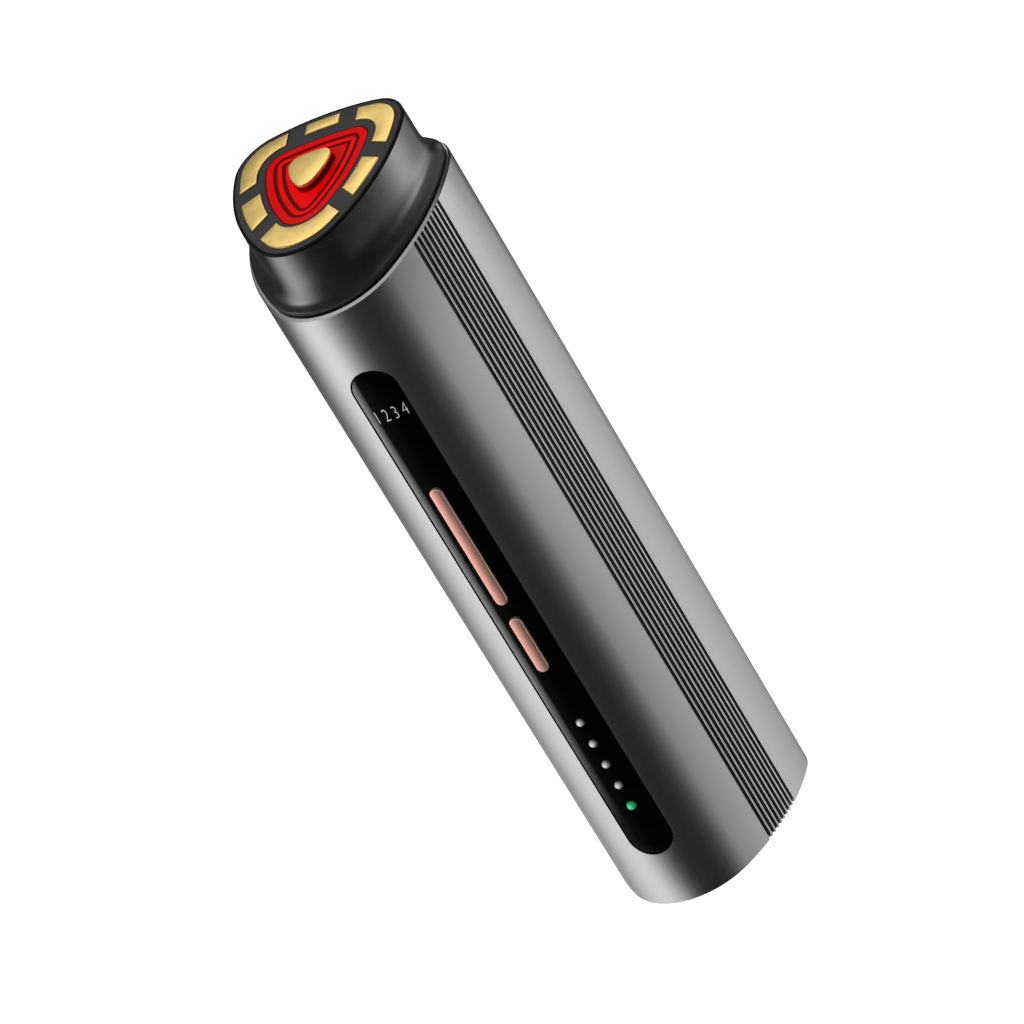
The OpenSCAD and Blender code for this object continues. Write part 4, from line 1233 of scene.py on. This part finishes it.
def soft_light(name, bearing, distance, height, wide, tall, power):
    """A soft lamp aimed at the wand; gloss sees the card tent instead of it"""
    data = bpy.data.lights.new(name, "AREA")
    data.shape, data.size, data.size_y, data.energy = "RECTANGLE", wide, tall, power
    lamp = bpy.data.objects.new(name, data)
    bpy.context.collection.objects.link(lamp)
    lamp.location = towards(bearing, distance, height)
    lamp.rotation_euler = (AIM - lamp.location).to_track_quat("-Z", "Y").to_euler()
    lamp.visible_camera = lamp.visible_glossy = False
    print(name, "of", power, "W")


soft_light("key_softbox", -135, 0.7, 0.75, 0.35, 0.35, 10.0)
soft_light("right_softbox", 30, 0.9, 0.4, 0.4, 0.6, 1.2)

# %% [markdown]
# A satin tube mirrors what stands round it, below the level of the camera. In a
# studio that is a tent of graduated card: bright at the left and the right and dark
# towards the camera. The head's gloss mirrors the card higher up, and the slanted face
# the roof at the back. The tent is a grid wrapped round the wand. Its rings stand at a
# radius and a height, and each ring's brightness is listed by bearing. Only gloss sees
# it, so it lights nothing, throws no shadow and isn't seen itself.

# %% Brightness of the card, as (bearing, level), and by the tube as (bearing, low, high)
BY_TUBE = [(-180, 1.35, 0.75), (-165, 1.55, 1.45), (-150, 1.65, 2.0), (-135, 1.35, 2.3),
           (-122, 0.7, 1.5), (-110, 0.2, 0.65), (-98, 0.03, 0.22), (-85, 0.03, 0.06),
           (-55, 0.03, 0.04), (-35, 0.07, 0.16), (-20, 0.3, 0.6), (-5, 0.66, 1.12),
           (20, 0.9, 1.12), (43, 1.25, 1.2), (60, 0.8, 0.68), (80, 0.5, 0.26), (93, 0.4, 0.24),
           (105, 0.34, 0.28), (125, 0.3, 0.12), (139, 0.42, 0.1), (155, 0.65, 0.2),
           (168, 1.0, 0.4), (180, 1.35, 0.75)]
BY_TUBE_LOW = [(bearing, low) for bearing, low, _ in BY_TUBE]
BY_TUBE_HIGH = [(bearing, high) for bearing, _, high in BY_TUBE]
BY_HEAD = [(-180, 0.5), (-166, 1.3), (-150, 1.85), (-133, 1.1), (-117, 0.27), (-101, 0.05),
           (-18, 0.03), (-2, 0.07), (15, 0.42), (32, 2.1), (50, 0.58), (72, 0.06), (145, 0.03),
           (160, 0.02), (177, 0.32), (180, 0.5)]
OVER_HEAD = [(-180, 0.4), (-166, 1.8), (-150, 2.8), (-133, 1.15), (-117, 0.25), (-101, 0.05),
             (-18, 0.03), (-5, 0.1), (8, 0.5), (22, 2.2), (38, 1.1), (50, 0.25), (60, 0.06),
             (160, 0.03), (180, 0.4)]
BESIDE_HEAD = [(-180, 0.05), (-150, 0.1), (-120, 0.05), (-18, 0.03), (-5, 0.1), (8, 0.5),
               (22, 2.4), (38, 1.1), (50, 0.2), (60, 0.05), (180, 0.05)]
ROOF = [(-180, 0.05), (-150, 0.08), (-120, 0.05), (-8, 0.04), (8, 0.2), (22, 0.5), (41, 0.45),
        (54, 0.25), (66, 0.12), (80, 0.4), (95, 0.75), (150, 0.75), (165, 0.4), (180, 0.05)]
PEAK = [(-180, 0.2), (-150, 0.08), (-60, 0.06), (10, 0.06), (35, 0.15), (60, 0.4), (90, 1.2),
        (150, 1.35), (170, 0.8), (180, 0.2)]
TOP = [(-180, 0.5), (180, 0.5)]
TENT_RINGS = [(0.02, -0.295, BY_TUBE_LOW), (0.258, -0.135, BY_TUBE_LOW),
              (0.344, -0.012, BY_TUBE_HIGH), (0.365, 0.018, BY_HEAD), (0.45, 0.14, BY_HEAD),
              (0.5, 0.23, OVER_HEAD), (0.5, 0.31, BESIDE_HEAD), (0.5, 0.36, BESIDE_HEAD),
              (0.5, 0.41, ROOF), (0.5, 0.5, ROOF), (0.35, 0.75, PEAK), (0.12, 0.88, TOP),
              (0.02, 0.9, TOP)]


def level_at(levels, bearing):
    """Brightness at a bearing, straight between the listed ones"""
    for (low, below), (high, above) in zip(levels, levels[1:]):
        if bearing <= high:
            return below + (above - below) * (bearing - low) / (high - low)
    return levels[-1][1]


print("brightest card:", max(level for _, _, levels in TENT_RINGS for _, level in levels))

# %% Card
card = bpy.data.materials.new("graduated_card")
tree = emptied(card)
level = add(tree, "Attribute", attribute_name="glow_level")
glow = add(tree, "Emission", {"Color": colour("FFFFFF"), "Strength": level.outputs["Fac"]})
add(tree, "OutputMaterial", {"Surface": glow.outputs[0]})


def card_grid(name, columns, rows, bend):
    """A grid of card, seen by gloss alone; bend gives each point its place and level"""
    deselect()
    bpy.ops.mesh.primitive_grid_add(x_subdivisions=columns, y_subdivisions=rows, size=1)
    grid = bpy.context.object
    grid.name = name
    glow_level = grid.data.attributes.new("glow_level", "FLOAT", "POINT")
    for vertex, value in zip(grid.data.vertices, glow_level.data):
        vertex.co, value.value = bend(vertex.co.x, vertex.co.y)
    grid.data.materials.append(card)
    grid.visible_camera = grid.visible_diffuse = grid.visible_shadow = False
    grid.visible_transmission = False
    print(name, "points:", len(grid.data.vertices))


# %% Tent of graduated card
TENT_COLUMNS = 144


def wrap(x, y):
    """Bends the grid round the wand, ring by ring"""
    distance, height, levels = TENT_RINGS[round((y + 0.5) * (len(TENT_RINGS) - 1))]
    return towards(x * 360, distance, height), level_at(levels, x * 360)


card_grid("card_tent", TENT_COLUMNS, len(TENT_RINGS) - 1, wrap)

# %% [markdown]
# The gold pads run from deep gold at the left to pale gold at the right. A card close
# over the head does that: it is near enough that each pad mirrors its own part of it. It
# hangs where the face mirrors it to the camera and is graded across.

# %% Face card
CARD_SIDE, CARD_FAR, CARD_CELLS = 124, 130, 40
CARD_LEVEL, CARD_LIMITS = 1.05, (0.3, 1.7)
CARD_GRADE = Vector((0.0175, -0.0135, 0))
mirror_way = Vector((-0.4017, 0.6429, 0.6521))
sideways = mirror_way.cross(Vector((0, 0, 1))).normalized()
upward = sideways.cross(mirror_way)


def over_the_head(x, y):
    """Hangs the card over the face, graded by the spot of the face that mirrors it"""
    offset = sideways * x * CARD_SIDE + upward * y * CARD_SIDE
    spot = offset - mirror_way * offset.z / mirror_way.z
    level = max(CARD_LIMITS[0], min(CARD_LIMITS[1], CARD_LEVEL + CARD_GRADE.dot(spot)))
    return (Vector((0, 0, FACE_Z)) + mirror_way * CARD_FAR + offset) * MM, level


card_grid("face_card", CARD_CELLS, CARD_CELLS, over_the_head)

# %% [markdown]
# ## The camera
# The camera looks down at the wand from its front right with a long lens, and is
# rolled so that the wand lies along the diagonal of the view.

# %% Camera
LENS_MM = 163.8
camera_back = Vector((0.40172, -0.78843, 0.46584))
camera_right = Vector((0.87125, 0.17237, -0.45958))
camera_up = Vector((0.28204, 0.59048, 0.75616))
camera_place = Vector((396.2, -778.4, 551.8)) * MM
eye = bpy.data.objects.new("camera", bpy.data.cameras.new("camera"))
bpy.context.collection.objects.link(eye)
eye.data.lens, eye.data.sensor_width = LENS_MM, 36
eye.data.clip_start, eye.data.clip_end = 0.05, 20
eye.matrix_world = Matrix((camera_right, camera_up, camera_back)).transposed().to_4x4()
eye.location = camera_place
bpy.context.scene.camera = eye
bpy.context.scene.view_settings.view_transform = "Standard"
print("camera distance:", round((camera_place - Vector((0, 0, 0.09))).length, 3), "m")
